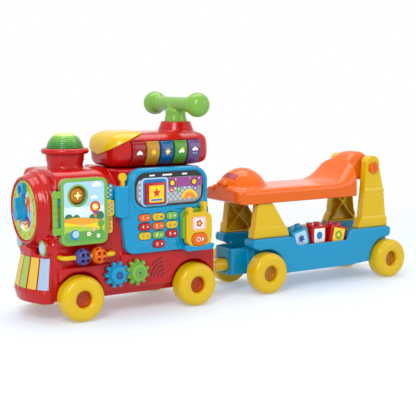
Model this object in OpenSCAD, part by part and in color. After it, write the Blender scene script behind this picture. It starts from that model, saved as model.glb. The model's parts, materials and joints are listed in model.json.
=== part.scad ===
// Ride-on train: an engine full of play pieces that pulls a wagon with a lifting seat.
// Millimetres, +Z up. The engine faces -X and its play side is -Y.
// The origin is on the floor, under the middle of the whole train.

/* [Wheels] */
// Radius of all eight wheels
wheel_r = 45; // [40:0.5:50]
// Width of a wheel
wheel_w = 38; // [32:0.5:40]
// Round edge of a wheel's outer face
wheel_edge = 9; // [4:0.5:12]
// Radius of the deep hole in a wheel's face
hub_r = 16; // [12:0.5:20]
// Depth of that hole
hub_depth = 24; // [16:0.5:28]
// Radius of the steel axles
axle_r = 3; // [2.5:0.1:4]
// Half the width over the engine's wheels
engine_half = 110; // [107:0.5:111]
// Half the width over the wagon's wheels
wagon_half = 98; // [94:0.5:106]

/* [Boiler] */
// Radius of the boiler
boiler_r = 80; // [76:0.5:82]
// Height of the boiler's axis over the fenders
boiler_rise = 107; // [100:0.5:115]
// Reach of the clock face ahead of the front axle
clock_reach = 76; // [70:0.5:84]
// Radius of the clock face
dial_r = 59; // [52:0.5:62]
// Depth of the clock hand's grip
hand_depth = 20; // [14:0.5:24]
// Place of the smokestack behind the front axle
stack_x = 12.5; // [0:0.5:25]
// Radius of the smokestack's foot
stack_r = 33; // [28:0.5:38]
// Height of the smokestack
stack_h = 38; // [30:0.5:50]
// Radius of the light dome
dome_r = 37.5; // [32:0.5:42]
// Radius of a headlight housing
lamp_r = 19; // [14:0.5:22]

/* [Book] */
// Width of a book leaf
book_w = 99; // [85:0.5:110]
// Height of a book leaf
book_h = 129; // [110:0.5:140]
// Thickness of a book leaf
leaf_t = 3.6; // [2.5:0.1:4.5]
// Radius of the hinge barrel
barrel_r = 5.5; // [4.5:0.1:6.5]
// Radius of the hinge pin
hinge_pin_r = 2.5; // [1.5:0.1:3]
// Radius of the round light behind the book
light_r = 15.5; // [12:0.5:18]
// Length of the longest page tab
tab_len = 15.5; // [12:0.5:17]

/* [Beads and gears] */
// Radius of a caged bead
bead_r = 16.5; // [13:0.5:17]
// Radius of the bead rod
rod_r = 4.5; // [3:0.1:5.5]
// Teeth on each gear
gear_teeth = 10; // [8:1:12]
// Distance between the gear posts
gear_distance = 46; // [44:0.5:50]
// Radius of a round gear tooth
tooth_r = 3.2; // [2.4:0.1:3.6]
// Thickness of a gear
gear_t = 9; // [6:0.5:11]
// Radius of a gear post
post_r = 5; // [3:0.1:6]

/* [Telephone panel] */
// Thickness of the panel
panel_t = 14; // [11:0.5:16]
// Width of a number key
key_w = 27; // [20:0.5:28]
// Height of a number key
key_h = 14.6; // [10:0.1:15]
// Spacing of the number keys along the panel
key_pitch_x = 31.4; // [30:0.1:34]
// Spacing of the number keys up the panel
key_pitch_z = 18.4; // [17:0.1:20]
// Height of the window
window_h = 72; // [62:0.5:74]
// Width of the handset
handset_w = 61; // [54:0.5:64]
// Height of the handset
handset_h = 71; // [66:0.5:78]
// Thickness of the handset
handset_t = 14; // [11:0.5:14]
// Half the height of the handset's oval button
call_r = 12.5; // [10:0.5:13]

/* [Roof and handlebar] */
// Height of the roof
roof_h = 69; // [60:0.5:76]
// Half the width of the roof
roof_half = 70; // [64:0.5:74]
// Width of a piano key
piano_w = 29.5; // [22:0.5:30]
// Spacing of the piano keys
piano_pitch = 32.5; // [31:0.1:33]
// Radius of the handlebar's post
handle_post_r = 24; // [18:0.5:26]
// Radius of the crossbar
bar_r = 15; // [12:0.5:18]
// Height of the crossbar over the roof
bar_rise = 56; // [48:0.5:70]
// Half the distance between the ball grips
ball_half = 86.4; // [80:0.1:87]
// Radius of a ball grip
ball_r = 25.3; // [21:0.1:26]

/* [Wagon] */
// Distance from the engine's rear axle to the wagon's front axle
axle_gap = 196; // [190:0.5:220]
// Inside length of the storage bin
bin_len = 160; // [155:0.5:220]
// Wall of the storage bin
bin_wall = 4; // [3:0.1:6]
// Height of the front legs
leg_h = 76.5; // [60:0.5:90]
// Distance of the legs' inner faces from the middle
leg_in = 46; // [42:0.5:48]
// Thickness of a leg
leg_t = 20; // [16:0.5:24]
// Length of a front leg's foot
front_foot = 93; // [80:0.5:94]
// Length of a rear leg's foot
rear_foot = 87; // [80:0.5:94]
// Height of a leg's foot band
foot_h = 23; // [16:0.5:28]
// Half the width of the seat
seat_half = 72; // [64:0.5:76]
// Height of the seat's side skirt
seat_skirt = 33; // [28:0.5:45]
// Rise of the front hump over the seat
hump_rise = 42; // [25:0.5:50]
// Rise of the backrest over the seat
back_rise = 66; // [50:0.5:80]
// Height of the seat's pivot over the seat's lower edge
pivot_rise = 63; // [55:0.5:72]
// Radius of the seat's pivot pins
pivot_r = 7; // [5:0.1:9]

/* [Letter blocks] */
// Width and depth of a letter block
block_w = 46; // [40:0.5:48]
// Height of a letter block without its studs
block_h = 42; // [36:0.5:46]

/* [Clearances] */
// Gap between pieces that move past each other
gap = 0.4; // [0.3:0.05:0.6]
// Gap round an axle or a pin
bore_gap = 0.05; // [0.03:0.01:0.1]

/* [Hidden] */
$fn = 64;
far = 400;
red = [0.78, 0.12, 0.12];
yellow = [0.92, 0.78, 0.15];
blue = [0.0, 0.6, 0.82];
green = [0.5, 0.74, 0.28];
orange = [0.94, 0.45, 0.14];
purple = [0.42, 0.34, 0.6];
steel = [0.7, 0.72, 0.74];

// Heights, all carried by the wheels
floor_z = wheel_r - 7;
band_z = wheel_r + 7;
deck_z = 2 * wheel_r + 16;
sill_z = deck_z + 15;
boiler_z = deck_z + boiler_rise;
boiler_top = boiler_z + boiler_r;
bead_z = deck_z + bead_r + 4.5;
book_z = bead_z + bead_r + 7;
key_z = sill_z + 16.5;
window_z = key_z + 3 * key_pitch_z + key_h / 2 + 11.7;
cab_top = window_z + window_h + 6;
roof_top = cab_top + roof_h;
bar_z = roof_top + bar_rise;

// Engine lengths, from the front axle
dial_x = -clock_reach;
hand_x = dial_x - hand_depth;
boiler_x = dial_x + 30;
hinge_x = boiler_x - 4;
book_x = hinge_x + barrel_r + 3.5;
tab_x = book_x + book_w + tab_len;
pod_x = tab_x + 1.2;
pod_w = 17;
cab_x = pod_x + pod_w;
panel_x = cab_x - 2;
keypad_x = panel_x + 35 + 1.5 * key_pitch_x;
handset_x = keypad_x + 1.5 * key_pitch_x + 10.8 + handset_w / 2;
panel_end = handset_x + handset_w / 2 + 10;
cab_end = panel_end + 5;
rear_x = cab_end - wheel_r - 1;
roof_x = cab_x - 4;
roof_end = cab_end + 17;
handle_x = cab_end - 36;
piano_x = cab_x + 35;
gear_x = wheel_r + 33;
peg_x = cab_end + 26;

// Engine widths
core_half = engine_half - wheel_w - 2;
side_half = boiler_r - 4;
cab_half = boiler_r - 2;
band_half = max(boiler_r + 4, core_half + 8);
well_r = wheel_r + 6;
panel_y = -cab_half - panel_t;
rest_t = 3;
handset_back = panel_y - rest_t - gap;
handset_front = handset_back - handset_t;
lip_t = 1.6;
bead_y = -side_half - bead_r - 1.5;
leaf_pitch = leaf_t + gap;
hinge_y = -boiler_r - gap - 1.5 * leaf_pitch;
gear_z = 2 * wheel_r - 6;
gear_y = -band_half - gap;

// Roof section: half circles on a flat middle
roof_r = roof_h / 2;
roof_mid = cab_top + roof_r;
roof_cy = roof_half - roof_r;
piano_out = roof_r + 4.5;
piano_in = roof_r - 3;
piano_low = cab_top + 4.5;
piano_high = roof_top - 16;
piano_press = 3;

// Wagon lengths, heights and widths
wf = rear_x + axle_gap;
bin_x = wf + wheel_r + 31;
bin_end = bin_x + bin_len;
wr = bin_end + wheel_r + 70;
wagon_end = wr + 23;
nose_x = wf - wheel_r - 21;
nose_half = 33;
rim_z = 2 * wheel_r + 8;
fender_z = 2 * wheel_r + 30;
tub_half = wagon_half - 22;
well_in = wagon_half - wheel_w - 4;
trough_half = leg_in - 7;
leg_out = leg_in + leg_t;
seat_z = fender_z + leg_h + 0.3;
pan_z = seat_z + seat_skirt;
pivot_x = wr - 39;
pivot_z = seat_z + pivot_rise;
seat_x = nose_x - 4;
neck_half = leg_in - 1;
seat_back = pivot_x - 52;
fender_x = wf - 36;
fender_end = wr + 12;
bar_in_z = wheel_r + 14;

// Whole length, for the origin
x_mid = (hand_x + wr + wheel_r) / 2;

// Outline with round corners: r is one radius, or one for each corner
function unit(v) = v / norm(v);
function corner(a, b, c, r, n) =
    let (u = unit(a - b), v = unit(c - b), half = acos(u * v) / 2,
        o = b + unit(u + v) * r / sin(half),
        s = b + u * r / tan(half) - o, e = b + v * r / tan(half) - o,
        a0 = atan2(s[1], s[0]), turn = atan2(e[1], e[0]) - a0,
        sweep = turn > 180 ? turn - 360 : turn < -180 ? turn + 360 : turn)
    [for (k = [0:n]) o + r * [cos(a0 + sweep * k / n), sin(a0 + sweep * k / n)]];
function rounded(p, r, n = 6) =
    [for (i = [0:len(p) - 1])
        let (m = len(p), q = is_list(r) ? r[i] : r)
        each q > 0 ? corner(p[(i + m - 1) % m], p[i], p[(i + 1) % m], q, n) : [p[i]]];
function box_points(a, b) = [a, [b[0], a[1]], b, [a[0], b[1]]];
function smooth(t) = t <= 0 ? 0 : t >= 1 ? 1 : t * t * (3 - 2 * t);
function bump(t) = abs(t) >= 1 ? 0 : (1 - t * t) * (1 - t * t);

// Extrude a flat outline along one axis: the outline is (y, z), (x, z) or (x, y)
module along_x(a, b) {
    translate([a, 0, 0]) rotate([90, 0, 90]) linear_extrude(b - a) children();
}
module along_y(a, b) {
    translate([0, b, 0]) rotate([90, 0, 0]) linear_extrude(b - a) children();
}
module along_z(a, b) {
    translate([0, 0, a]) linear_extrude(b - a) children();
}
module rod_x(r, a, b) {
    translate([a, 0, 0]) rotate([0, 90, 0]) cylinder(r = r, h = b - a);
}
module rod_y(r, a, b) {
    translate([0, b, 0]) rotate([90, 0, 0]) cylinder(r = r, h = b - a);
}
module both_sides() {
    children();
    mirror([0, 1, 0]) children();
}
module round_box(a, b, r) {
    polygon(rounded(box_points(a, b), r));
}
module slot_2d(w, h) {
    translate([-(w - h) / 2, -h / 2]) square([w - h, h]);
    for (s = [-1, 1]) translate([s * (w - h) / 2, 0]) circle(d = h);
}

// Wheels and axles
cap_t = 4;
cap_r = 9;
module wheel(x, side, half) {
    bore = axle_r + bore_gap;
    outline = [[bore, -wheel_w], [wheel_r, -wheel_w], [wheel_r, 0], [hub_r, 0],
        [hub_r, -hub_depth], [bore, -hub_depth]];
    color(yellow) translate([x, side * half, wheel_r]) rotate([-90 * side, 0, 0])
        rotate_extrude() polygon(rounded(outline, [0, 5, wheel_edge, 6, 3, 0]));
}
module axle(x, half) {
    seat = half - hub_depth + gap;
    translate([x, 0, wheel_r]) {
        rod_y(axle_r, -seat - cap_t / 2, seat + cap_t / 2);
        both_sides() rod_y(cap_r, seat, seat + cap_t);
    }
}
module engine_axles() {
    color(steel) axle(0, engine_half);
    color(steel) axle(rear_x, engine_half);
}
module wagon_axles() {
    color(steel) axle(wf, wagon_half);
    color(steel) axle(wr, wagon_half);
}

// Chassis: core between the wheels, fenders, skirt, gear posts and hitch peg
skirt_cx = dial_x + 91;
skirt_top = deck_z + 24;
skirt_low_r = 107;
skirt_high_r = 90;
skirt_ribs = 7;
hitch_half = 24;
module skirt_cone(grow) {
    translate([skirt_cx, 0, band_z + 6])
        cylinder(r1 = skirt_low_r + grow - 1, r2 = skirt_high_r + grow, h = skirt_top - band_z - 6);
}
module skirt() {
    intersection() {
        union() {
            skirt_cone(0);
            translate([skirt_cx, 0, floor_z - 3]) cylinder(r1 = skirt_low_r - 4, r2 = skirt_low_r + 2,
                h = band_z + 9 - floor_z);
            translate([skirt_cx, 0, skirt_top - 5]) cylinder(r = skirt_high_r + 2.5, h = 5);
            intersection() {
                skirt_cone(2);
                for (k = [0:skirt_ribs - 1]) translate([skirt_cx, 0, 0])
                    rotate(180 + (k - (skirt_ribs - 1) / 2) * 12.5)
                    translate([0, -1.5, 0]) cube([far, 3, far]);
            }
        }
        along_z(0, skirt_top) round_box([dial_x - 60, -core_half], [boiler_x, core_half], 6);
    }
}
module deck_outline(x, end, low, r) {
    polygon(rounded([[x, low], [end, low], [end, sill_z], [cab_x, sill_z],
        [cab_x, deck_z], [x, deck_z]], [r, 16, 5, 0, 0, r]));
}
crescent_r = 6;
grille_x = gear_x + gear_distance + 36;
module grille() {
    translate([grille_x, 0, gear_z]) along_y(-band_half - 1, -band_half + 5) {
        for (c = [0:2], k = [-2:2]) translate([2.4 * crescent_r * c, 1.8 * crescent_r * k + 2 * c])
            difference() {
                circle(crescent_r);
                translate([2, -1]) circle(crescent_r - 0.6);
            }
        for (k = [-2:2]) translate([7 * crescent_r + 1.5 * (k % 2), 1.5 * crescent_r * k])
            circle(crescent_r / 3);
    }
}
module gear_post(x) {
    translate([x, 0, gear_z]) {
        rod_y(post_r, gear_y - gear_t + gear_face + gap, -core_half);
    }
}
module chassis() color(red) difference() {
    union() {
        difference() {
            union() {
                along_y(-core_half, core_half) deck_outline(boiler_x, cab_end, floor_z, 8);
                along_y(-band_half, band_half) deck_outline(boiler_x + 4, cab_end + 6.5, band_z, 10);
            }
            along_z(0, far) translate([cab_end, -hitch_half]) square([far, 2 * hitch_half]);
            for (x = [0, rear_x]) both_sides() translate([x, 0, wheel_r])
                rod_y(well_r, core_half, band_half + 1);
            grille();
        }
        skirt();
        along_x(dial_x - 1, boiler_x - 16) round_box([-30, skirt_top - 2], [30, bezel_low], 5);
        for (x = [0, rear_x]) both_sides() translate([x, 0, wheel_r])
            rod_y(12, core_half - 1, core_half + 1.5);
        gear_post(gear_x);
        gear_post(gear_x + gear_distance);
        along_z(bar_in_z - 15, bar_in_z - 7) {
            translate([cab_end - 20, -14]) square([peg_x - cab_end + 20, 28]);
            translate([peg_x, 0]) circle(14);
        }
        along_z(bar_in_z - 10, bar_in_z + 13) translate([peg_x, 0]) circle(post_r);
        along_x(rear_x - 140, rear_x - 60) round_box([-45, floor_z - 2], [45, floor_z + 4], 1.5);
    }
    for (x = [0, rear_x]) translate([x, 0, wheel_r]) rod_y(axle_r + bore_gap, -far, far);
    for (s = [-1, 1]) translate([0, s * lamp_y, lamp_z])
        rod_x(lamp_r + gap, boiler_x - lamp_d - gap, boiler_x + 1);
}

// Boiler: arched body, stepped clock bezel, headlights, book pad and hinge lugs
bezel = [[0, 0], [boiler_r - 3, 0], [boiler_r - 3, 12], [boiler_r - 9, 15], [boiler_r - 9, 21],
    [dial_r + 8, 25], [dial_r + 8, 33], [dial_r + 1, 33], [dial_r + 1, 24], [0, 24]];
bezel_round = [0, 0, 3, 2, 3, 2, 3, 2, 0, 0];
pad_end = book_x + book_w + 8;
lug_h = 7;
leaf_mid = book_z + book_h / 2;
knuckle = 14;
barrel_h = 6 * knuckle;
light_x = book_x + 36;
light_z = book_z + book_h - 33;
lamp_y = 55;
lamp_z = deck_z + 38;
lamp_d = 19;
bezel_low = boiler_z - boiler_r + 8.5;
module turned_x(x, z) {
    translate([x, 0, z]) rotate([0, -90, 0]) rotate_extrude() children();
}
module boiler_shell() color(red) difference() {
    union() {
        along_x(boiler_x, cab_x) {
            translate([0, boiler_z]) circle(boiler_r);
            translate([-side_half, deck_z]) square([2 * side_half, boiler_rise]);
        }
        intersection() {
            along_x(boiler_x, pad_end) polygon(rounded(box_points([-boiler_r, book_z - 8],
                [boiler_r, boiler_top]), [10, 10, 30, 30]));
            along_y(-boiler_r - 1, boiler_r + 1)
                round_box([boiler_x, book_z - 8], [pad_end, boiler_top], [12, 12, 22, 10]);
        }
        turned_x(boiler_x, boiler_z) polygon(rounded(bezel, bezel_round, 4));
        for (s = [-1, 1]) translate([0, s * lamp_y, lamp_z]) turned_x(boiler_x + 1, 0)
            polygon(rounded([[0, 0], [lamp_r, 0], [lamp_r - 2, lamp_d], [0, lamp_d]], [0, 0, 3, 0]));
        translate([stack_x, 0, boiler_z]) cylinder(r = stack_r + 4, h = boiler_r + 1);
        for (z = [leaf_mid - barrel_h / 2 - lug_h - gap, leaf_mid + barrel_h / 2 + gap])
            along_z(z, z + lug_h) {
                translate([hinge_x, hinge_y]) circle(barrel_r);
                translate([hinge_x, hinge_y]) square([barrel_r + 1.5, -hinge_y - side_half]);
                translate([hinge_x, -boiler_r]) square([20, 12]);
            }
    }
    translate([hinge_x, hinge_y, leaf_mid - far / 2]) cylinder(r = hinge_pin_r + bore_gap, h = far);
    translate([light_x, 0, light_z]) rod_y(light_r + gap, -boiler_r - 1, -boiler_r + 9);
    for (x = [rod_front, rod_rear]) translate([x, 0, bead_z])
        rod_y(rod_r + bore_gap, -side_half - 1, -side_half + 8);
    along_z(0, far) translate([pod_x - gap, -far]) square([far, far - cab_half]);
}

// Cab behind the telephone panel, leaning forward at the back
block_x = panel_x + 76;
block_z = window_z + 8;
block_out = 6;
block_y = panel_y - block_out + block_w / 2;
module cab_shell() color(red) difference() {
    along_y(-cab_half, cab_half) polygon(rounded([[cab_x, sill_z], [cab_end, sill_z],
        [cab_end - 3, sill_z + 30], [cab_end - 24, cab_top], [cab_x, cab_top]], [0, 6, 30, 8, 0]));
    block_pocket();
}
module block_pocket() {
    along_y(panel_y - block_out, block_y + block_w / 2 + gap)
        translate([block_x - block_w / 2 - gap, block_z - gap])
        square([block_w + 2 * gap, block_h + stud_h + 2 * gap]);
}

// Smokestack with its flared rim, and the light dome that presses down in it
rim_r = 6;
stack_z = boiler_top + 1;
stack_top = stack_z + stack_h;
dome_z = stack_top - 4;
module smokestack() color(red) translate([stack_x, 0, stack_z]) rotate_extrude() difference() {
    union() {
        polygon([[0, 0], [stack_r, 0], [stack_r - 2, 8], [dome_r + 4, stack_h - 12],
            [dome_r + 4, stack_h], [0, stack_h]]);
        translate([dome_r + 4, stack_h - rim_r]) circle(rim_r);
    }
    translate([0, stack_h - 15]) square([dome_r + gap, far]);
}
dome_skirt = 7;
dome_step = 0.8;
module stack_dome() color(green) translate([stack_x, 0, dome_z]) rotate_extrude() intersection() {
    union() {
        circle(dome_r - dome_step);
        translate([0, -dome_skirt]) square([dome_r, dome_skirt + 1.5]);
        for (a = [16:17:67]) translate((dome_r - dome_step) * [cos(a), sin(a)]) circle(1.2);
    }
    translate([0, -dome_skirt]) square([far, far]);
}

// Clock: dial with twelve raised marks, and a hand with a finger loop
spindle_r = 5;
module clock_dial() color(yellow) translate([dial_x, 0, boiler_z]) {
    rod_x(dial_r, 0, 6);
    for (k = [0:11]) rotate([k * 30, 0, 0]) translate([0, 0, dial_r - 8]) rod_x(4, -1, 2);
    rod_x(spindle_r, -hand_depth + 8, 2);
}
module clock_hand() color(blue) translate([dial_x - 1 - gap, 0, boiler_z]) difference() {
    union() {
        along_x(-8, 0) {
            translate([0, -4]) circle(18);
            translate([-7, 0]) square([14, 34]);
            translate([0, 41]) circle(14);
        }
        along_x(-hand_depth + 1 + gap, -7) {
            translate([0, -6]) circle(12);
            translate([-6, -6]) square([12, 26]);
            translate([0, 20]) circle(6);
        }
    }
    translate([0, 0, 41]) rod_x(7.5, -far, far);
    rod_x(spindle_r + bore_gap * 2, -hand_depth + 8, far);
}

// Roof: a bar with round ends, five key pockets and the boss of the handlebar
module roof_form(grow) {
    low = [roof_x - grow, cab_top - grow];
    high = [roof_end + grow, roof_top + grow];
    intersection() {
        along_x(low[0], high[0]) {
            for (s = [-1, 1]) translate([s * roof_cy, roof_mid]) circle(roof_r + grow);
            translate([-roof_cy, low[1]]) square([2 * roof_cy, roof_h + 2 * grow]);
        }
        along_y(-far, far) round_box(low, high, [14 + grow, 14 + grow, 26 + grow, 30 + grow]);
        along_z(0, far * 2) round_box([low[0], -roof_half - grow], [high[0], roof_half + grow], 40 + grow);
    }
}
module piano_section(out, in, low, high, inner) {
    intersection() {
        translate([-roof_cy, roof_mid]) difference() {
            circle(out);
            circle(in);
        }
        translate([-roof_cy - far, low]) square([far - inner, high - low]);
    }
}
module piano_key(i) {
    shade = [red, yellow, blue, green, purple];
    color(shade[i - 1]) along_x(piano_x + (i - 1) * piano_pitch, piano_x + (i - 1) * piano_pitch + piano_w)
        piano_section(piano_out, piano_in, piano_low, piano_high, 12);
}
module roof_shell() color(red) difference() {
    union() {
        roof_form(0);
        translate([handle_x, 0, roof_top - 8])
            cylinder(r1 = handle_post_r + 17.5, r2 = handle_post_r + 6.5, h = 28);
    }
    for (i = [0:4]) along_x(piano_x + i * piano_pitch - gap, piano_x + i * piano_pitch + piano_w + gap)
        piano_section(far, piano_in - piano_press - 1, piano_low - gap, piano_high + gap, 6);
    translate([handle_x, 0, roof_top - 30]) cylinder(r = handle_post_r + bore_gap, h = far);
}
module roof_cap() color(yellow) difference() {
    intersection() {
        roof_form(4.5);
        along_y(-far, far) polygon(rounded([[roof_x - 7, roof_mid + 3], [roof_x + 16, roof_mid + 1],
            [roof_x + 72, roof_top - 9], [roof_x + 66, roof_top + 7], [roof_x - 7, roof_top + 7]],
            [6, 14, 5, 4, 0]));
        along_z(0, far * 2) round_box([roof_x - 7, -roof_half + 14], [roof_x + 74, roof_half - 14], 20);
    }
    roof_form(gap);
}

// Handlebar: post, crossbar and two ball grips
module handlebar() color(green) {
    translate([handle_x, 0, roof_top - 30]) cylinder(r = handle_post_r, h = 52);
    translate([handle_x, 0, roof_top + 22])
        cylinder(r1 = handle_post_r, r2 = bar_r + 1, h = bar_rise - 22);
    translate([handle_x, 0, bar_z]) {
        rod_y(bar_r, -ball_half, ball_half);
        both_sides() rod_y(bar_r + 2, ball_half - ball_r - 10, ball_half - ball_r + 2);
        for (s = [-1, 1]) translate([0, s * ball_half, 0]) sphere(r = ball_r);
    }
}

// Telephone panel: window, keypad, handset pocket and lever pod
window_x = panel_x + 28;
window_end = panel_end - 18;
key_back = 8;
lip_z = sill_z - 3;
lip_h = 13;
lip_dip = 60;
handset_z = lip_z + 8;
lever_x = pod_x + 19.8;
lever_z = window_z + 34;
lever_pin_r = 2.5;
pod_z = window_z - 15;
pod_top = window_z + 47;
pod_y = panel_y - 5;
function key_place(n) = n == 0 ? [keypad_x + 1, key_z]
    : [keypad_x + ((n - 1) % 3 - 1) * key_pitch_x, key_z + (3 - floor((n - 1) / 3)) * key_pitch_z];
module panel_outline() {
    polygon(rounded([[panel_x + 10, sill_z], [panel_end, sill_z], [panel_end - 17, cab_top + 2],
        [panel_x + 22, cab_top + 2], [panel_x, key_z + 62]], [20, 22, 32, 30, 30]));
}
module phone_panel() color(blue) {
    difference() {
        union() {
            along_y(panel_y, -cab_half) panel_outline();
            along_y(panel_y - 3, panel_y + 1)
                round_box([window_x - 6, window_z - 6], [window_end + 6, cab_top], 30);
            along_y(panel_y - 1.5, panel_y + 1) round_box([keypad_x - 1.5 * key_pitch_x - 3, key_z - 11],
                [keypad_x + 1.5 * key_pitch_x + 3, key_z + 3 * key_pitch_z + 11], 12);
            along_y(pod_y, -cab_half)
                round_box([pod_x, pod_z], [lever_x + 9, pod_top], [10, 3, 3, 10]);
            along_y(handset_front - gap - lip_t, panel_y + 1)
                round_box([handset_x - handset_w / 2 - 5, lip_z],
                    [handset_x + handset_w / 2 + 5, lip_z + lip_h], [9, 9, 2, 2]);
            for (s = [-1, 1]) along_y(panel_y - 3.5, panel_y + 1)
                translate(key_place(0) + [s * key_pitch_x, 0]) slot_2d(key_w - 5, key_h - 4);
        }
        along_y(handset_front - gap - lip_t - 1, handset_front)
            translate([handset_x, lip_z + lip_h - 4 + lip_dip]) circle(lip_dip);
        along_y(panel_y - 4, panel_y + 2)
            round_box([window_x, window_z], [window_end, cab_top - 6], 26);
        for (n = [0:9]) along_y(panel_y - 5, panel_y + key_back)
            translate(key_place(n)) slot_2d(key_w + 2 * gap, key_h + 2 * gap);
        along_y(handset_front - gap, panel_y)
            round_box([handset_x - handset_w / 2 - gap, handset_z - gap],
                [handset_x + handset_w / 2 + gap, handset_z + 60], [18, 18, 0, 0]);
        along_y(pod_y + 6, pod_y + 14)
            round_box([pod_x + 2.4, lever_z - 10], [lever_x + 6, pod_top + 5], 1);
        along_y(panel_y - 4, panel_y) cradle_outline(gap);
        block_pocket();
    }
    translate([lever_x, 0, lever_z]) rod_y(lever_pin_r, pod_y + 1, -cab_half - 1);
}
module number_key(n) {
    shade = [red, orange, yellow, green, red, orange, yellow, yellow, green, red];
    color(shade[n]) along_y(panel_y - 4, panel_y + key_back - 2.6)
        translate(key_place(n)) slot_2d(key_w, key_h);
}
module cradle_outline(grow) {
    round_box([handset_x - handset_w / 2 - 6 - grow, handset_z + 18 - grow],
        [handset_x + handset_w / 2 - 16 + grow, handset_z + handset_h + 8 + grow], [4, 4, 12, 18]);
}
module handset_cradle() color(green) {
    along_y(panel_y - rest_t, panel_y) difference() {
        cradle_outline(0);
        translate([handset_x - 6, handset_z + 48]) circle(10);
    }
    along_y(handset_front + 5, panel_y) round_box([handset_x - handset_w / 2 - 6, handset_z + 18],
        [handset_x - handset_w / 2 - 0.8, handset_z + handset_h - 8], 2.4);
}
call_z = handset_z + call_r + 3;
ball_tips = [[-21, 5], [14, 15]];
module handset() color(yellow) difference() {
    union() {
        along_y(handset_front, handset_back) {
            round_box([handset_x - handset_w / 2, handset_z],
                [handset_x + handset_w / 2, handset_z + handset_h], [18, 18, 16, 16]);
            for (s = ball_tips) translate([handset_x + s[0], handset_z + handset_h + s[1]]) {
                circle(6.5);
                translate([-4, -s[1] - 8]) square([8, s[1] + 8]);
            }
        }
    }
    along_y(handset_front - 1, handset_front + 1.5)
        round_box([handset_x - 17.5, handset_z + 33], [handset_x + 17.5, handset_z + 63], 6);
    along_y(handset_front - 1, handset_front + 7) translate([handset_x, call_z]) call_outline(gap);
}
module call_outline(grow) {
    slot_2d(3 * call_r + 2 * grow, 2 * call_r + 2 * grow);
}
module handset_button() color(orange) along_y(handset_front - 2, handset_front + 4.6)
    translate([handset_x, call_z]) call_outline(0);
module signal_lever() color(yellow) difference() {
    along_y(pod_y + 6 + gap, pod_y + 14 - gap) translate([lever_x, 0]) {
        translate([-4, lever_z - 5]) square([8, pod_top - lever_z + 14]);
        translate([0, lever_z - 5]) circle(4);
        translate([0, pod_top + 17]) circle(8.5);
    }
    translate([lever_x, 0, lever_z]) rod_y(lever_pin_r + bore_gap * 2, -far, far);
}

// Letter blocks: a cube with two studs, hollow below
stud_h = 7;
stud_r = 7;
module letter_block() {
    difference() {
        along_z(0, block_h) round_box([-block_w / 2, -block_w / 2], [block_w / 2, block_w / 2], 4);
        along_z(-1, block_h - 4) round_box([4 - block_w / 2, 4 - block_w / 2],
            [block_w / 2 - 4, block_w / 2 - 4], 3);
    }
    for (s = [-1, 1]) translate([s * block_w / 4, 0, block_h - 1]) cylinder(r = stud_r, h = stud_h + 1);
}
module window_block() color(red)
    translate([block_x, block_y, block_z]) letter_block();

// Book: three leaves on one pin, each with its tab and its knuckles
leaf_of_knuckle = [0, 1, 2, 2, 1, 0];
tab_row = [1, 0, 2];
tab_h = 15;
cover_y = hinge_y - 1.5 * leaf_pitch + gap / 2;
module leaf(k) {
    y = hinge_y + (k - 1.5) * leaf_pitch + gap / 2;
    tab_z = book_z + book_h - 43 - tab_row[k] * (tab_h + 1);
    tab_end = book_x + book_w + tab_len - (k == 1 ? 0 : 5);
    difference() {
        union() {
            along_y(y, y + leaf_t) {
                round_box([book_x, book_z], [book_x + book_w, book_z + book_h], 14);
                round_box([book_x + book_w - 12, tab_z], [tab_end, tab_z + tab_h], 5);
            }
            for (i = [0:5]) if (leaf_of_knuckle[i] == k)
                translate([0, 0, leaf_mid - barrel_h / 2 + i * knuckle + gap / 2]) {
                    translate([hinge_x, hinge_y, 0]) cylinder(r = barrel_r, h = knuckle - gap);
                    translate([hinge_x, y, 0]) cube([book_x - hinge_x + 2, leaf_t, knuckle - gap]);
                }
        }
        translate([light_x, 0, light_z]) rod_y(light_r + 2.5, -far, far);
        translate([hinge_x, hinge_y, 0]) cylinder(r = hinge_pin_r + bore_gap, h = far);
    }
}
module book_cover() color(green) {
    leaf(0);
    along_y(cover_y - 1.2, cover_y + 1) difference() {
        round_box([book_x, book_z], [book_x + book_w, book_z + book_h], 14);
        round_box([book_x + 6, book_z + 6], [book_x + book_w - 6, book_z + book_h - 6], 9);
    }
    translate([light_x, cover_y + 1, light_z]) rotate([90, 0, 0]) difference() {
        cylinder(r = light_r + 6, h = 2.2);
        translate([0, 0, -1]) cylinder(r = light_r + 2.5, h = 5);
    }
}
module book_page_front() color(blue) leaf(1);
module book_page_back() color(yellow) leaf(2);
module book_hinge_pin() color(steel) translate([hinge_x, hinge_y, leaf_mid - barrel_h / 2 - lug_h - gap])
    cylinder(r = hinge_pin_r, h = barrel_h + 2 * lug_h + 2 * gap);
module book_light() color(orange) translate([light_x, -boiler_r, light_z]) rotate([90, 0, 0]) {
    translate([0, 0, -6]) cylinder(r = light_r, h = 12);
    intersection() {
        translate([0, 0, 6 - light_r]) sphere(r = light_r * sqrt(2));
        translate([0, 0, 5.9]) cylinder(r = light_r, h = light_r);
    }
}

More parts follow.
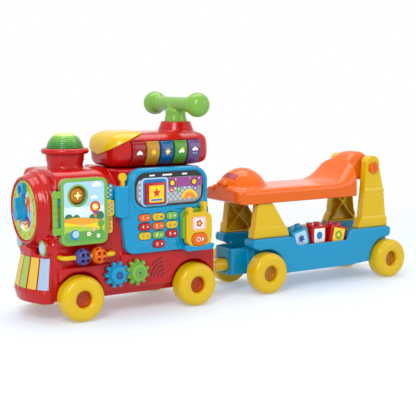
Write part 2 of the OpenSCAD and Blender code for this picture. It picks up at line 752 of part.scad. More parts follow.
// Bead rod, bent into the body at both ends, with two caged beads
rod_bend = 10;
rod_front = boiler_x + 8;
rod_rear = cab_x - 19;
bead_gap = 2;
module bead_rod() color(yellow) translate([0, bead_y, bead_z]) {
    rod_x(rod_r, rod_front + rod_bend, rod_rear - rod_bend);
    for (s = [[rod_front + rod_bend, 180], [rod_rear - rod_bend, 270]])
        translate([s[0], rod_bend, 0]) rotate(s[1])
            rotate_extrude(angle = 90) translate([rod_bend, 0]) circle(rod_r);
    for (x = [rod_front, rod_rear]) translate([x, 0, 0])
        rod_y(rod_r, rod_bend - 0.01, -side_half - bead_y + 6);
}
module bead(x, shade) color(shade) translate([x, bead_y, bead_z]) rotate([0, 90, 0]) difference() {
    union() {
        difference() {
            sphere(r = bead_r);
            sphere(r = bead_r - 3);
            for (k = [0:3], z = [-1, 1]) rotate(k * 45 + 22.5) translate([-far, -3.4, z * 5.2 - 3.2])
                cube([2 * far, 6.8, 6.4]);
        }
        cylinder(r = rod_r + 2.4, h = 2 * bead_r - 3, center = true);
        intersection() {
            sphere(r = bead_r - 1);
            cylinder(r = far, h = 3, center = true);
        }
    }
    cylinder(r = rod_r + gap, h = far, center = true);
}
bead_x = rod_front + 40;
module bead_purple() bead(bead_x, purple);
module bead_orange() bead(bead_x + 2 * bead_r + bead_gap, orange);

// Gears with round teeth, turning together on their posts
tooth_circle = gear_distance / 2 - 0.5;
gear_face = 3;
module gear(x, turn, shade) color(shade) translate([x, gear_y, gear_z]) rotate([90, 0, 0]) rotate(turn)
    difference() {
        union() {
            linear_extrude(gear_t) {
                circle(tooth_circle - tooth_r - 0.5);
                for (k = [0:gear_teeth - 1]) rotate(k * 360 / gear_teeth) {
                    translate([tooth_circle, 0]) circle(tooth_r);
                    translate([tooth_circle - 8, -tooth_r]) square([8, 2 * tooth_r]);
                }
            }
        }
        translate([0, 0, gear_t - 2]) linear_extrude(far) difference() {
            circle(tooth_circle - tooth_r - 3.5);
            circle(post_r + 5);
        }
        translate([0, 0, -1]) cylinder(r = post_r + bore_gap * 2, h = gear_t - gear_face + 1);
    }
module gear_blue() gear(gear_x, 0, blue);
module gear_green() gear(gear_x + gear_distance, 180 / gear_teeth + 180, green);

// Wagon tub: side panels with fenders and wheel arches, a bin and a narrow nose
module fender_outline() {
    polygon(rounded([[fender_x, rim_z + 4], [fender_x, fender_z], [bin_x - 6, fender_z],
        [bin_x + 12, rim_z], [bin_end - 8, rim_z], [bin_end + 4, fender_z], [fender_end, fender_z],
        [fender_end, rim_z + 4], [wr, rim_z - 10], [wr, wheel_r], [bin_end + 10, floor_z],
        [bin_x - 12, floor_z], [wf, wheel_r], [wf, rim_z - 10]],
        [4, 6, 8, 6, 6, 8, 6, 4, 0, 0, 10, 10, 0, 0]));
}
module tub() color(blue) difference() {
    union() {
        difference() {
            both_sides() along_y(leg_in - 6, tub_half) fender_outline();
            both_sides() for (x = [wf, wr]) translate([x, 0, wheel_r]) rod_y(well_r, well_in, far);
        }
        along_z(floor_z, rim_z) {
            round_box([nose_x, -nose_half], [wagon_end, nose_half], 8);
            translate([wf - 20, -well_in + 4]) square([wr - wf + 40, 2 * well_in - 8]);
            translate([bin_x - 20, -tub_half]) square([bin_len + 40, 2 * tub_half]);
        }
    }
    along_z(floor_z + bin_wall, far) {
        round_box([bin_x, -tub_half + bin_wall], [bin_end, tub_half - bin_wall], 10);
        translate([wf - 16, -trough_half]) square([wr - wf + 32, 2 * trough_half]);
        translate([nose_x + bin_wall, -nose_half + bin_wall])
            square([wagon_end - nose_x - 2 * bin_wall, 2 * nose_half - 2 * bin_wall]);
    }
    along_x(nose_x - 1, nose_x + bin_wall + 1) round_box([-20 - gap, bar_in_z - 13 - gap],
        [20 + gap, bar_in_z + 13 + gap], 12);
    for (x = [wf, wr]) translate([x, 0, wheel_r]) rod_y(axle_r + bore_gap, -far, far);
}
module drawbar() color(yellow) difference() {
    union() {
        along_x(peg_x + 20, nose_x + bin_wall + 1) round_box([-20, bar_in_z - 13], [20, bar_in_z + 13], 12);
        along_x(nose_x + bin_wall + gap / 2, nose_x + bin_wall + 5)
            round_box([-25, bar_in_z - 16], [25, bar_in_z + 16], 12);
        along_z(bar_in_z - 6.6, bar_in_z + 6) {
            translate([peg_x, 0]) circle(14);
            translate([peg_x, -14]) square([22, 28]);
        }
    }
    translate([peg_x, 0, 0]) cylinder(r = post_r + bore_gap * 4, h = far);
}

// Legs: tapered posts with a foot band, open and ribbed on the inside
leg_wall = 3.5;
rib_t = 4;
band_out = 2;
front_x = wf - 27;
rear_leg_x = fender_end - 6 - rear_foot;
top_half = pivot_r + 13.5;
leg_top = pivot_z + pivot_r + 21;
waist_z = pivot_z - 54;
waist_x = rear_leg_x + 0.2 * rear_foot;
waist_end = rear_leg_x + 0.885 * rear_foot;
module front_leg_outline(inset) {
    polygon(rounded([[front_x + inset, fender_z + inset], [front_x + front_foot - inset, fender_z + inset],
        [front_x + front_foot - 7 - inset, fender_z + foot_h],
        [front_x + front_foot * 0.54 - inset, fender_z + leg_h - inset],
        [front_x + front_foot * 0.1 + inset, fender_z + leg_h - inset]], [2, 2, 6, 6, 6]));
}
module rear_leg_outline(inset) {
    arch = 18 - inset;
    polygon(rounded([[rear_leg_x + inset, fender_z + inset],
        [rear_leg_x + rear_foot - inset, fender_z + inset],
        [rear_leg_x + rear_foot - 2 - inset, fender_z + foot_h], [waist_end - inset, waist_z],
        [pivot_x + top_half - inset, pivot_z], [pivot_x + top_half - 1 - inset, leg_top - inset],
        [pivot_x - top_half + 1 + inset, leg_top - inset], [pivot_x - top_half + inset, pivot_z],
        [waist_x + inset, waist_z], [rear_leg_x + 0.12 * rear_foot + inset, fender_z + foot_h]],
        [2, 2, 4, 10, 10, arch, arch, 10, 10, 4]));
}
module foot_band(low, high) {
    along_y(leg_in - band_out, leg_out + band_out) polygon(rounded([[low[0], fender_z], [high[0], fender_z],
        [high[1], fender_z + foot_h], [low[1], fender_z + foot_h]], [1, 1, 4, 4]));
}
module leg_ribs(x, z) {
    for (a = [-48, 48]) translate([x, z]) rotate(a) square([far, rib_t], center = true);
}
module front_legs() color(yellow) both_sides() difference() {
    union() {
        along_y(leg_in, leg_out) front_leg_outline(0);
        foot_band([front_x - band_out, front_x], [front_x + front_foot + band_out, front_x + front_foot - 5]);
    }
    along_y(leg_in - band_out - 1, leg_out - leg_wall) difference() {
        front_leg_outline(leg_wall);
        leg_ribs(front_x + front_foot * 0.4, fender_z + leg_h / 2);
    }
}
module rear_legs() color(yellow) both_sides() difference() {
    union() {
        along_y(leg_in, leg_out) rear_leg_outline(0);
        foot_band([rear_leg_x - band_out, rear_leg_x + 0.1 * rear_foot],
            [rear_leg_x + rear_foot + band_out, rear_leg_x + rear_foot]);
        along_y(leg_out - 1, leg_out + band_out)
            round_box([waist_x - 1, waist_z - 3], [waist_end + 1, waist_z + 3], 2.5);
    }
    along_y(leg_in - band_out - 1, leg_out - leg_wall) difference() {
        rear_leg_outline(leg_wall);
        leg_ribs((waist_x + waist_end) / 2, fender_z + foot_h * 2);
        translate([pivot_x, pivot_z]) circle(2 * pivot_r);
    }
    translate([pivot_x, 0, pivot_z]) rod_y(pivot_r + bore_gap, -far, far);
}
module seat_pivot_pins() color(orange) both_sides() translate([pivot_x, 0, pivot_z]) difference() {
    union() {
        rod_y(pivot_r, neck_half - 14, leg_out + 1);
        rod_y(pivot_r * 1.9, leg_out, leg_out + 4.5);
    }
    translate([-1.5, leg_out + 3, -pivot_r * 1.5]) cube([3, far, pivot_r * 3]);
}

// Seat: a loft through cross sections with a hump and a backrest, hollow below between its ribs
seat_steps = 52;
seat_ring = 14;
seat_end = pivot_x + 27;
hump_x = wf - 15;
hump_len = 58;
hump_half = 52;
nose_len = 22;
function seat_at(k) = seat_x + (seat_end - seat_x) * k / seat_steps;
function nose_in(x) = sqrt(1 - pow(1 - min(1, (x - seat_x + 2) / nose_len), 2));
function tail_in(x) = sqrt(1 - pow(1 - min(1, (seat_end - x + 1) / 30), 2));
function half_at(x) = x > seat_back + 6 ? neck_half - 1 - gap
    : seat_half - nose_len * (1 - nose_in(x))
        - (seat_half - neck_half + 1 + gap) * smooth((x - seat_back) / 6);
function low_at(x) = seat_z + 8 * (1 - nose_in(x)) + (pivot_rise - 29) * smooth((x - seat_back) / 8)
    + 20 * (1 - tail_in(x));
function pan_at(x) = pan_z - 2 * (1 - nose_in(x)) + 14 * smooth((x - seat_back + 40) / 60)
    - 22 * (1 - tail_in(x));
function hump_at(x, y) =
    hump_rise * pow(max(0, 1 - pow((x - hump_x) / hump_len, 2) - pow(y / hump_half, 2)), 0.75);
function back_at(x, y, w) = (back_rise - 14) * smooth((x - seat_back + 70) / 112) * (0.45 + 0.55 * tail_in(x))
    * pow(max(0, 1 - pow(y / w, 4)), 0.6);
function seat_loop(x) =
    let (w = half_at(x), low = low_at(x), h = pan_at(x) - low)
    concat([for (j = [-seat_ring:seat_ring])
        let (s = sin(j * 90 / seat_ring), y = w * s)
        [x, y, low + h * pow(max(0, 1 - pow(abs(s), 8)), 1 / 8) + hump_at(x, y) + back_at(x, y, w)]],
        [[x, w * 0.5, low - 0.01], [x, -w * 0.5, low - 0.01]]);
module loft(rings) {
    n = len(rings[0]);
    m = len(rings);
    sides = [for (i = [0:m - 2], j = [0:n - 1])
        let (a = i * n + j, b = i * n + (j + 1) % n)
        each [[a, b, b + n], [a, b + n, a + n]]];
    polyhedron(points = [for (r = rings) each r],
        faces = concat([[for (j = [n - 1:-1:0]) j]], sides, [[for (j = [0:n - 1]) (m - 1) * n + j]]));
}
module seat() color(orange) difference() {
    loft([for (k = [0:seat_steps]) seat_loop(seat_at(k))]);
    for (k = [0:3]) along_y(-seat_half + 9, seat_half - 9) {
        cell = (seat_back - wf - 42) / 4;
        x = wf + 34 + k * cell;
        translate([x, seat_z - 1]) square([cell - rib_t, seat_skirt - 8]);
    }
    both_sides() translate([pivot_x, 0, pivot_z]) rod_y(pivot_r + bore_gap * 2, neck_half - 15, far);
}

// Loose letter blocks that fill the near half of the bin
bin_mid = (bin_x + bin_end) / 2;
bin_floor = floor_z + bin_wall;
lay_y = -tub_half + bin_wall + block_w / 2 + 3;
lay_z = bin_floor + 0.3;
top_z = lay_z + block_h + stud_h + 0.3;
module block_at(x, y, z, a) {
    translate([bin_mid + x, y, z]) rotate(a) letter_block();
}
module red_blocks() color(red) {
    block_at(-block_w - 3, lay_y, lay_z, [0, 0, 0]);
    block_at(0, lay_y + 6, top_z, [0, 0, 4]);
    block_at(block_w + 3, lay_y + 1, top_z - 2, [0, 12, 0]);
}
module yellow_blocks() color(yellow) {
    block_at(0, lay_y, lay_z, [0, 0, 0]);
    block_at(block_w + 3, lay_y, lay_z, [0, 0, 0]);
}
module blue_blocks() color(blue) block_at(-block_w - 2.8, lay_y + 2, top_z - 1.6, [0, -14, 0]);

translate([-x_mid, 0, 0]) chassis();
translate([-x_mid, 0, 0]) boiler_shell();
translate([-x_mid, 0, 0]) cab_shell();
translate([-x_mid, 0, 0]) smokestack();
translate([-x_mid, 0, 0]) stack_dome();
translate([-x_mid, 0, 0]) clock_dial();
translate([-x_mid, 0, 0]) clock_hand();
translate([-x_mid, 0, 0]) roof_shell();
translate([-x_mid, 0, 0]) roof_cap();
for (i = [1:5])
    translate([-x_mid, 0, 0]) piano_key(i);
translate([-x_mid, 0, 0]) handlebar();
translate([-x_mid, 0, 0]) phone_panel();
for (n = [0:9])
    translate([-x_mid, 0, 0]) number_key(n);
translate([-x_mid, 0, 0]) handset_cradle();
translate([-x_mid, 0, 0]) handset();
translate([-x_mid, 0, 0]) handset_button();
translate([-x_mid, 0, 0]) window_block();
translate([-x_mid, 0, 0]) signal_lever();
translate([-x_mid, 0, 0]) book_cover();
translate([-x_mid, 0, 0]) book_page_front();
translate([-x_mid, 0, 0]) book_page_back();
translate([-x_mid, 0, 0]) book_hinge_pin();
translate([-x_mid, 0, 0]) book_light();
translate([-x_mid, 0, 0]) bead_rod();
translate([-x_mid, 0, 0]) bead_purple();
translate([-x_mid, 0, 0]) bead_orange();
translate([-x_mid, 0, 0]) gear_blue();
translate([-x_mid, 0, 0]) gear_green();
translate([-x_mid, 0, 0]) engine_axles();
translate([-x_mid, 0, 0]) drawbar();
translate([-x_mid, 0, 0]) tub();
translate([-x_mid, 0, 0]) front_legs();
translate([-x_mid, 0, 0]) rear_legs();
translate([-x_mid, 0, 0]) seat();
translate([-x_mid, 0, 0]) seat_pivot_pins();
translate([-x_mid, 0, 0]) wagon_axles();
for (end = [["front", 0], ["rear", rear_x]], side = [["left", -1], ["right", 1]])
    translate([-x_mid, 0, 0]) wheel(end[1], side[1], engine_half);
for (end = [["front", wf], ["rear", wr]], side = [["left", -1], ["right", 1]])
    translate([-x_mid, 0, 0]) wheel(end[1], side[1], wagon_half);
translate([-x_mid, 0, 0]) red_blocks();
translate([-x_mid, 0, 0]) yellow_blocks();
translate([-x_mid, 0, 0]) blue_blocks();
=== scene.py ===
# %% [markdown]
# # A ride-on train
# The CAD frame holds the train's real sizes: an engine full of play pieces, and a wagon with a
# lifting seat over a bin of blocks. This script dresses that frame. Sizes and places are read from
# the frame's own boxes, so each printed shape, lens and wheel follows the piece it sits on.

# %% Load the frame
import json
import math

import bmesh
import bpy
from mathutils import Euler, Matrix, Vector
from mathutils.bvhtree import BVHTree

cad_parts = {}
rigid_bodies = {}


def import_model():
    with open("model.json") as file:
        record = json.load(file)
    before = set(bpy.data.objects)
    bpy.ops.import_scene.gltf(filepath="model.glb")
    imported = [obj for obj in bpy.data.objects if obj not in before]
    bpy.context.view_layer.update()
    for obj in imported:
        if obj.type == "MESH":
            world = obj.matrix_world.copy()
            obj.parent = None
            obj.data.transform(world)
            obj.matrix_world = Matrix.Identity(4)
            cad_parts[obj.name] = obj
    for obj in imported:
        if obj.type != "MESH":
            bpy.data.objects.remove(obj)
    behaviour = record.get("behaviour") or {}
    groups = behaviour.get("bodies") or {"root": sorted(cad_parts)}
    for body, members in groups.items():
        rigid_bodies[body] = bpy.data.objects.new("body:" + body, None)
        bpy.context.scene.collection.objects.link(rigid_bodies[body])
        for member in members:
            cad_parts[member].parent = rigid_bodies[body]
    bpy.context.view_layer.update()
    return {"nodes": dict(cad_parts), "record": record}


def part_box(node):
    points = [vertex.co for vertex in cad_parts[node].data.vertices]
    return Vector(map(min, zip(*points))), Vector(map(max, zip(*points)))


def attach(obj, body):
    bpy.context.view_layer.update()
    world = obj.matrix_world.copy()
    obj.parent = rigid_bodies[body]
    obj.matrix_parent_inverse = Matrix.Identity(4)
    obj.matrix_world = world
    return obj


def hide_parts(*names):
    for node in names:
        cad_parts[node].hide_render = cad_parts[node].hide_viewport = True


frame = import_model()
nodes = frame["nodes"]
bodies = frame["record"]["behaviour"]["bodies"]
home = {node: body for body, names in bodies.items() for node in names}
MM = 0.001
X, Y, Z = Vector((1, 0, 0)), Vector((0, 1, 0)), Vector((0, 0, 1))


# %% [markdown]
# ## Materials
# Moulded toy plastic is glossy with a very fine skin texture. One function makes all of it: a wide
# noise varies the gloss, a fine noise lifts the surface by about two hundredths of a millimetre.

# %% Colours and plastic
def srgb(r, g, b):
    """An 8-bit display colour as the linear RGBA value that a shader socket takes."""
    shares = [c / 255 for c in (r, g, b)]
    return tuple(s / 12.92 if s < 0.0405 else ((s + 0.055) / 1.055) ** 2.4 for s in shares) + (1.0,)


def new_material(name, colour, rough):
    """A Principled material with its two main constants set, and its node tree."""
    mat = bpy.data.materials.new(name)
    mat.use_nodes = True
    shader = mat.node_tree.nodes["Principled BSDF"]
    shader.inputs["Base Color"].default_value = colour
    shader.inputs["Roughness"].default_value = rough
    mat.diffuse_color = colour
    return mat, mat.node_tree, shader


def add_node(tree, kind, **constants):
    """A new shader node with constants on its sockets, whose names have underscores for spaces."""
    node = tree.nodes.new("ShaderNode" + kind)
    for socket, value in constants.items():
        node.inputs[socket.replace("_", " ")].default_value = value
    return node


def light_up(shader, colour, strength):
    """Let a surface glow in this colour."""
    shader.inputs["Emission Color"].default_value = colour
    shader.inputs["Emission Strength"].default_value = strength


SHEEN = 0.36
GLOSS_SPREAD, GLOSS_SCALE = 0.05, 18.0
SKIN_SCALE, SKIN_STRENGTH, SKIN_DEPTH = 1400.0, 0.25, 0.00002


def plastic(name, colour, rough=0.17, glow=0.0, clear=0.0):
    """Moulded plastic: uneven gloss and a fine skin, optionally see-through or lit from inside."""
    mat, tree, shader = new_material(name, colour, rough)
    shader.inputs["Specular IOR Level"].default_value = SHEEN
    coords = add_node(tree, "TexCoord")
    wide = add_node(tree, "TexNoise", Scale=GLOSS_SCALE)
    spread = add_node(tree, "MapRange", To_Min=rough - GLOSS_SPREAD, To_Max=rough + GLOSS_SPREAD)
    fine = add_node(tree, "TexNoise", Scale=SKIN_SCALE)
    bump = add_node(tree, "Bump", Strength=SKIN_STRENGTH, Distance=SKIN_DEPTH)
    link = tree.links.new
    link(coords.outputs["Object"], wide.inputs["Vector"])
    link(coords.outputs["Object"], fine.inputs["Vector"])
    link(wide.outputs["Fac"], spread.inputs["Value"])
    link(spread.outputs["Result"], shader.inputs["Roughness"])
    link(fine.outputs["Fac"], bump.inputs["Height"])
    link(bump.outputs["Normal"], shader.inputs["Normal"])
    if clear:
        shader.inputs["Transmission Weight"].default_value = clear
    if glow:
        light_up(shader, colour, glow)
    return mat


FILM_ROUGH = 0.38


def ink(name, colour, glow=0.0):
    """Printed label film: flat colour under a satin coat."""
    mat, _, shader = new_material(name, colour, FILM_ROUGH)
    if glow:
        light_up(shader, colour, glow)
    return mat


RED = plastic("red_plastic", srgb(184, 14, 12))
YELLOW = plastic("yellow_plastic", srgb(216, 178, 6))
BLUE = plastic("blue_plastic", srgb(0, 142, 188))
GREEN = plastic("green_plastic", srgb(116, 170, 62))
ORANGE = plastic("orange_plastic", srgb(222, 97, 0))
# The two hub colours below are darker than the yellow wheels whose holes they line: painted shade of the
# deep holes. The engine's red hub also stands for the red boss at the bottom of its hole.
WAGON_HOLE_SHADE = plastic("wagon_hole_shade_plastic", srgb(190, 126, 14))
HUB_RED_AND_HOLE_SHADE = plastic("hub_red_and_hole_shade_plastic", srgb(190, 70, 12), 0.4)
PURPLE = plastic("purple_plastic", srgb(74, 66, 136))
GLASS = plastic("lamp_glass", srgb(176, 196, 212), 0.1)
STEEL = new_material("axle_steel", srgb(190, 192, 196), 0.3)[0]
STEEL.node_tree.nodes["Principled BSDF"].inputs["Metallic"].default_value = 1.0
LIGHT_LENS = plastic("amber_lens", srgb(176, 118, 18), 0.12, glow=0.15, clear=0.2)
KEY_TINTS = {
    "red_key": (158, 14, 20), "ochre_key": (190, 134, 16), "blue_key": (0, 88, 150),
    "green_key": (80, 150, 44), "plum_key": (104, 74, 134),
}
KEY_SHADES = {n: plastic(name, srgb(*tint), 0.12, clear=0.15)
              for n, (name, tint) in enumerate(KEY_TINTS.items(), 1)}
# The dark red ink and the scarlet ink are painted shade: of the grille's openings and the screw pits, and of
# the seat's pocket.
INK_TINTS = {
    "white": (244, 244, 240), "black": (24, 24, 28), "sky": (168, 208, 230), "pale": (214, 230, 236),
    "blue": (20, 120, 190), "navy": (30, 60, 130), "yellow": (248, 206, 24), "gold": (226, 160, 40),
    "lime": (166, 198, 50), "green": (86, 158, 60), "leaf": (34, 112, 66), "red": (206, 34, 36),
    "opening_shade_red": (70, 4, 8), "pocket_shade_red": (160, 20, 6), "pink": (240, 180, 168), "orange": (238, 120, 30),
    "plum": (146, 64, 136), "grey": (140, 142, 146), "mist": (186, 196, 206), "straw": (222, 184, 60),
    "moss": (156, 188, 76), "haze": (160, 186, 214),
}
INK = {shade: ink(shade + "_ink", srgb(*tint)) for shade, tint in INK_TINTS.items()}
INK["glow"] = ink("glowing_ink", srgb(255, 236, 170), 1.4)
print("materials:", len(bpy.data.materials))


# %% [markdown]
# The stack's dome is lit from inside near its top. A colour ramp along the height gives the deep green
# foot, the lime middle and the warm glowing crown.

# %% Glowing dome
LENS_STOPS = {0.5: (58, 138, 44), 0.8: (112, 172, 58), 0.95: (222, 222, 110)}
LIT_FROM, LIT_STRENGTH = 0.72, 0.9


def dome_material(low, high):
    """A green lens that is lit towards its crown, between two heights."""
    mat, tree, shader = new_material("green_lens", srgb(60, 140, 50), 0.1)
    coords = add_node(tree, "TexCoord")
    split = add_node(tree, "SeparateXYZ")
    height = add_node(tree, "MapRange", From_Min=low, From_Max=high)
    ramp = add_node(tree, "ValToRGB")
    stops = ramp.color_ramp.elements
    stops[0].color, stops[1].color = srgb(26, 92, 36), srgb(255, 240, 190)
    for place, tint in LENS_STOPS.items():
        stops.new(place).color = srgb(*tint)
    lit = add_node(tree, "MapRange", From_Min=LIT_FROM, To_Max=LIT_STRENGTH)
    link = tree.links.new
    link(coords.outputs["Object"], split.inputs["Vector"])
    link(split.outputs["Z"], height.inputs["Value"])
    link(height.outputs["Result"], ramp.inputs["Fac"])
    link(height.outputs["Result"], lit.inputs["Value"])
    link(ramp.outputs["Color"], shader.inputs["Base Color"])
    link(ramp.outputs["Color"], shader.inputs["Emission Color"])
    link(lit.outputs["Result"], shader.inputs["Emission Strength"])
    return mat


DOME_LENS = dome_material(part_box("stack_dome")[0].z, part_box("stack_dome")[1].z)
print("dome:", DOME_LENS.name)


# %% [markdown]
# ## Shapes that all pieces share
# Three ways to make a piece. A *lathe* turns a profile round an axis. A *soft copy* takes a CAD node
# and rounds its edges. A *melted copy* joins one or more CAD nodes of one body, remeshes them and
# relaxes the result, so that inside and outside corners get the fillets of an injection moulding.

# %% Piece makers
SHARP = math.radians(38)


def add_piece(name, mesh, material, body, stands_for=()):
    """Link a finished mesh to the scene, shade it, and let it ride on a CAD body."""
    obj = bpy.data.objects.new(name, mesh)
    bpy.context.scene.collection.objects.link(obj)
    if material is not None:
        mesh.materials.clear()
        mesh.materials.append(material)
    mesh.shade_smooth()
    mesh.set_sharp_from_angle(angle=SHARP)
    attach(obj, body)
    if stands_for:
        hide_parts(*stands_for)
    return obj


def mesh_from(name, verts, faces):
    mesh = bpy.data.meshes.new(name)
    mesh.from_pydata([tuple(v) for v in verts], [], faces)
    mesh.update()
    return mesh


def scratch_object(mesh):
    obj = bpy.data.objects.new("scratch", mesh)
    bpy.context.scene.collection.objects.link(obj)
    return obj


def finished(obj):
    """The evaluated mesh of a scratch object, which is then removed with its modifiers."""
    depsgraph = bpy.context.evaluated_depsgraph_get()
    mesh = bpy.data.meshes.new_from_object(obj.evaluated_get(depsgraph))
    obj.modifiers.clear()
    bpy.data.objects.remove(obj)
    return mesh


def middle(node):
    low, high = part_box(node)
    return (low + high) / 2


def tree_of(mesh):
    """A ray-cast tree of a mesh, for shapes that are laid on its surface."""
    return BVHTree.FromPolygons([v.co for v in mesh.vertices], [tuple(p.vertices) for p in mesh.polygons])


# %% Lathe
def on_circle(u, v, radius, degrees):
    """The point of a circle about (u, v) at this angle."""
    t = math.radians(degrees)
    return (u + radius * math.cos(t), v + radius * math.sin(t))


def arc(centre, radius, start, end, steps=8):
    """Points of a circular arc in a flat profile, angles in degrees."""
    return [on_circle(*centre, radius, start + (end - start) * k / steps) for k in range(steps + 1)]


def band_faces(rings, steps):
    """Quads between closed rings of points, each ring with the same number of steps."""
    pairs = [(i * steps + k, i * steps + (k + 1) % steps) for i in range(rings - 1) for k in range(steps)]
    return [(a, b, b + steps, a + steps) for a, b in pairs]


WELD = 0.00001


def lathe_mesh(name, profile, centre, axis, steps=72):
    """Turn a profile of (radius, distance along the axis), in millimetres, round that axis."""
    axis = axis.normalized()
    side = axis.orthogonal().normalized()
    other = axis.cross(side)
    verts = []
    for radius, along in profile:
        for k in range(steps):
            t = 2 * math.pi * k / steps
            spoke = side * math.cos(t) + other * math.sin(t)
            verts.append(centre + (axis * along + spoke * radius) * MM)
    mesh = mesh_from(name, verts, band_faces(len(profile), steps))
    bm = bmesh.new()
    bm.from_mesh(mesh)
    bmesh.ops.remove_doubles(bm, verts=bm.verts, dist=WELD)
    bmesh.ops.recalc_face_normals(bm, faces=bm.faces)
    bm.to_mesh(mesh)
    bm.free()
    return mesh


# %% Soft and melted copies
FLAT = math.radians(0.6)


def welded_copy(node):
    """A CAD node's mesh with its seams welded and its flat faces joined."""
    mesh = nodes[node].data.copy()
    bm = bmesh.new()
    bm.from_mesh(mesh)
    bmesh.ops.remove_doubles(bm, verts=bm.verts, dist=2 * WELD)
    bmesh.ops.dissolve_limit(bm, angle_limit=FLAT, verts=bm.verts, edges=bm.edges)
    bm.to_mesh(mesh)
    bm.free()
    return mesh


def soft_copy(node, material, width):
    """A CAD node with its edges rounded by this many millimetres."""
    obj = scratch_object(welded_copy(node))
    edge = obj.modifiers.new("edge", "BEVEL")
    edge.width = width * MM
    edge.segments = 2
    edge.limit_method = "ANGLE"
    edge.angle_limit = SHARP
    return add_piece(node + "_moulding", finished(obj), material, home[node], [node])


def joined_mesh(names):
    """The meshes of several CAD nodes in one."""
    bm = bmesh.new()
    for name in names:
        bm.from_mesh(nodes[name].data)
    mesh = bpy.data.meshes.new("joined")
    bm.to_mesh(mesh)
    bm.free()
    return mesh


def melted_mesh(names, voxel, relax, softer=None, extra=0):
    """CAD nodes of one body remeshed and relaxed, and relaxed further where softer(point) is true."""
    obj = scratch_object(joined_mesh(names))
    remesh = obj.modifiers.new("remesh", "REMESH")
    remesh.mode = "VOXEL"
    remesh.voxel_size = voxel * MM
    smooth = obj.modifiers.new("relax", "SMOOTH")
    smooth.iterations = relax
    mesh = finished(obj)
    if softer:
        obj = scratch_object(mesh)
        group = obj.vertex_groups.new(name="softer")
        group.add([v.index for v in mesh.vertices if softer(v.co)], 1.0, "REPLACE")
        smooth = obj.modifiers.new("relax", "SMOOTH")
        smooth.iterations = extra
        smooth.vertex_group = group.name
        mesh = finished(obj)
    return mesh


def melted_copy(names, material, voxel, relax, softer=None, extra=0):
    """A melted mesh as a piece that stands for its CAD nodes."""
    mesh = melted_mesh(names, voxel, relax, softer, extra)
    piece = add_piece(names[0] + "_moulding", mesh, material, home[names[0]], names)
    mesh.set_sharp_from_angle(angle=math.pi)
    return piece


# %% [markdown]
# ## Mouldings of the engine and the wagon
# The red body is one melted moulding of three CAD nodes. The tub, the legs, the seat and the panel are
# melted too. The roof's two ends are relaxed further, so that it looks like a cushion, and a turned
# sleeve makes the handle's post straight. Small pieces with close fits only get soft edges, and the
# number keys a shorter hidden end for their melted pockets.

# %% Large mouldings
roof_low, roof_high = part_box("roof_shell")
ROOF_END, BOSS_H = 38 * MM, 20 * MM
keys_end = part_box("piano_key_5")[1].x + 2 * MM
SEAT_SKIRT = 34 * MM
seat_soft_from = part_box("seat")[0].z + SEAT_SKIRT


def roof_is_softer(point):
    """The roof ahead of and behind its keys, but not the boss on its top."""
    outside = point.x < roof_low.x + ROOF_END or point.x > keys_end
    return outside and point.z < roof_high.z - BOSS_H


def seat_is_softer(point):
    """The upper side of the seat, above its skirt."""
    return point.z > seat_soft_from


body_red = melted_copy(["chassis", "boiler_shell", "cab_shell"], RED, 2.4, 9)
roof = melted_copy(["roof_shell"], RED, 1.4, 4, roof_is_softer, 600)
melted_copy(["seat"], ORANGE, 1.9, 10, seat_is_softer, 20)
MELTED = {
    "handlebar": (GREEN, 1.3, 22), "tub": (BLUE, 2.0, 14), "phone_panel": (BLUE, 1.2, 9),
    "front_legs": (YELLOW, 1.3, 8), "rear_legs": (YELLOW, 1.5, 8), "handset": (YELLOW, 0.8, 14),
    "drawbar": (YELLOW, 1.0, 8), "clock_hand": (BLUE, 0.6, 10), "handset_cradle": (GREEN, 0.7, 6),
    "signal_lever": (YELLOW, 0.6, 14), "handset_button": (ORANGE, 0.6, 12),
}
MELTED.update({f"piano_key_{n}": (KEY_SHADES[n], 0.7, 50) for n in KEY_SHADES})
for node, (material, voxel, relax) in MELTED.items():
    melted_copy([node], material, voxel, relax)
POST_R, POST_TOP, POST_TAPER, POST_ROUND = 22.6, 30.0, 1.4, 9.0
neck_r = POST_R - POST_TAPER
post = [(POST_R, 0), (neck_r, POST_TOP - 4)] + arc((neck_r - POST_ROUND, POST_TOP), POST_ROUND, 0, 90)
post_foot = Vector((middle("handlebar").x, 0, roof_high.z - BOSS_H / 2))
add_piece("handle_post", lathe_mesh("handle_post", post, post_foot, Z), GREEN, home["handlebar"])
print("red body:", len(body_red.data.polygons), "faces")

# %% [markdown]
# The yellow cap lies over the front of the roof. Its skin is a swollen copy of the roof, cut along the
# cap's edges and turned in at the rim.

# %% Roof cap
CAP_STEP, CAP_OUT, CAP_LONG = 5.0, 4.0, 70 * MM


def spot_key(point):
    """A point's coordinates, rounded so that two equal points can be matched."""
    return tuple(round(c, 7) for c in point)


def cut_to_edges(mesh, edges):
    """Keep a mesh inside each (point, outward direction) pair, and turn in its rim."""
    bm = bmesh.new()
    bm.from_mesh(mesh)
    for point, outward in edges:
        everything = bm.verts[:] + bm.edges[:] + bm.faces[:]
        bmesh.ops.bisect_plane(bm, geom=everything, plane_co=point, plane_no=outward, clear_outer=True)
    bm.normal_update()
    rim = [e for e in bm.edges if e.is_boundary]
    inward = {spot_key(v.co): -v.normal * CAP_STEP * MM for e in rim for v in e.verts}
    new = bmesh.ops.extrude_edge_only(bm, edges=rim)["geom"]
    for vert in [g for g in new if isinstance(g, bmesh.types.BMVert)]:
        vert.co += inward[spot_key(vert.co)]
    bmesh.ops.recalc_face_normals(bm, faces=bm.faces)
    bm.to_mesh(mesh)
    bm.free()


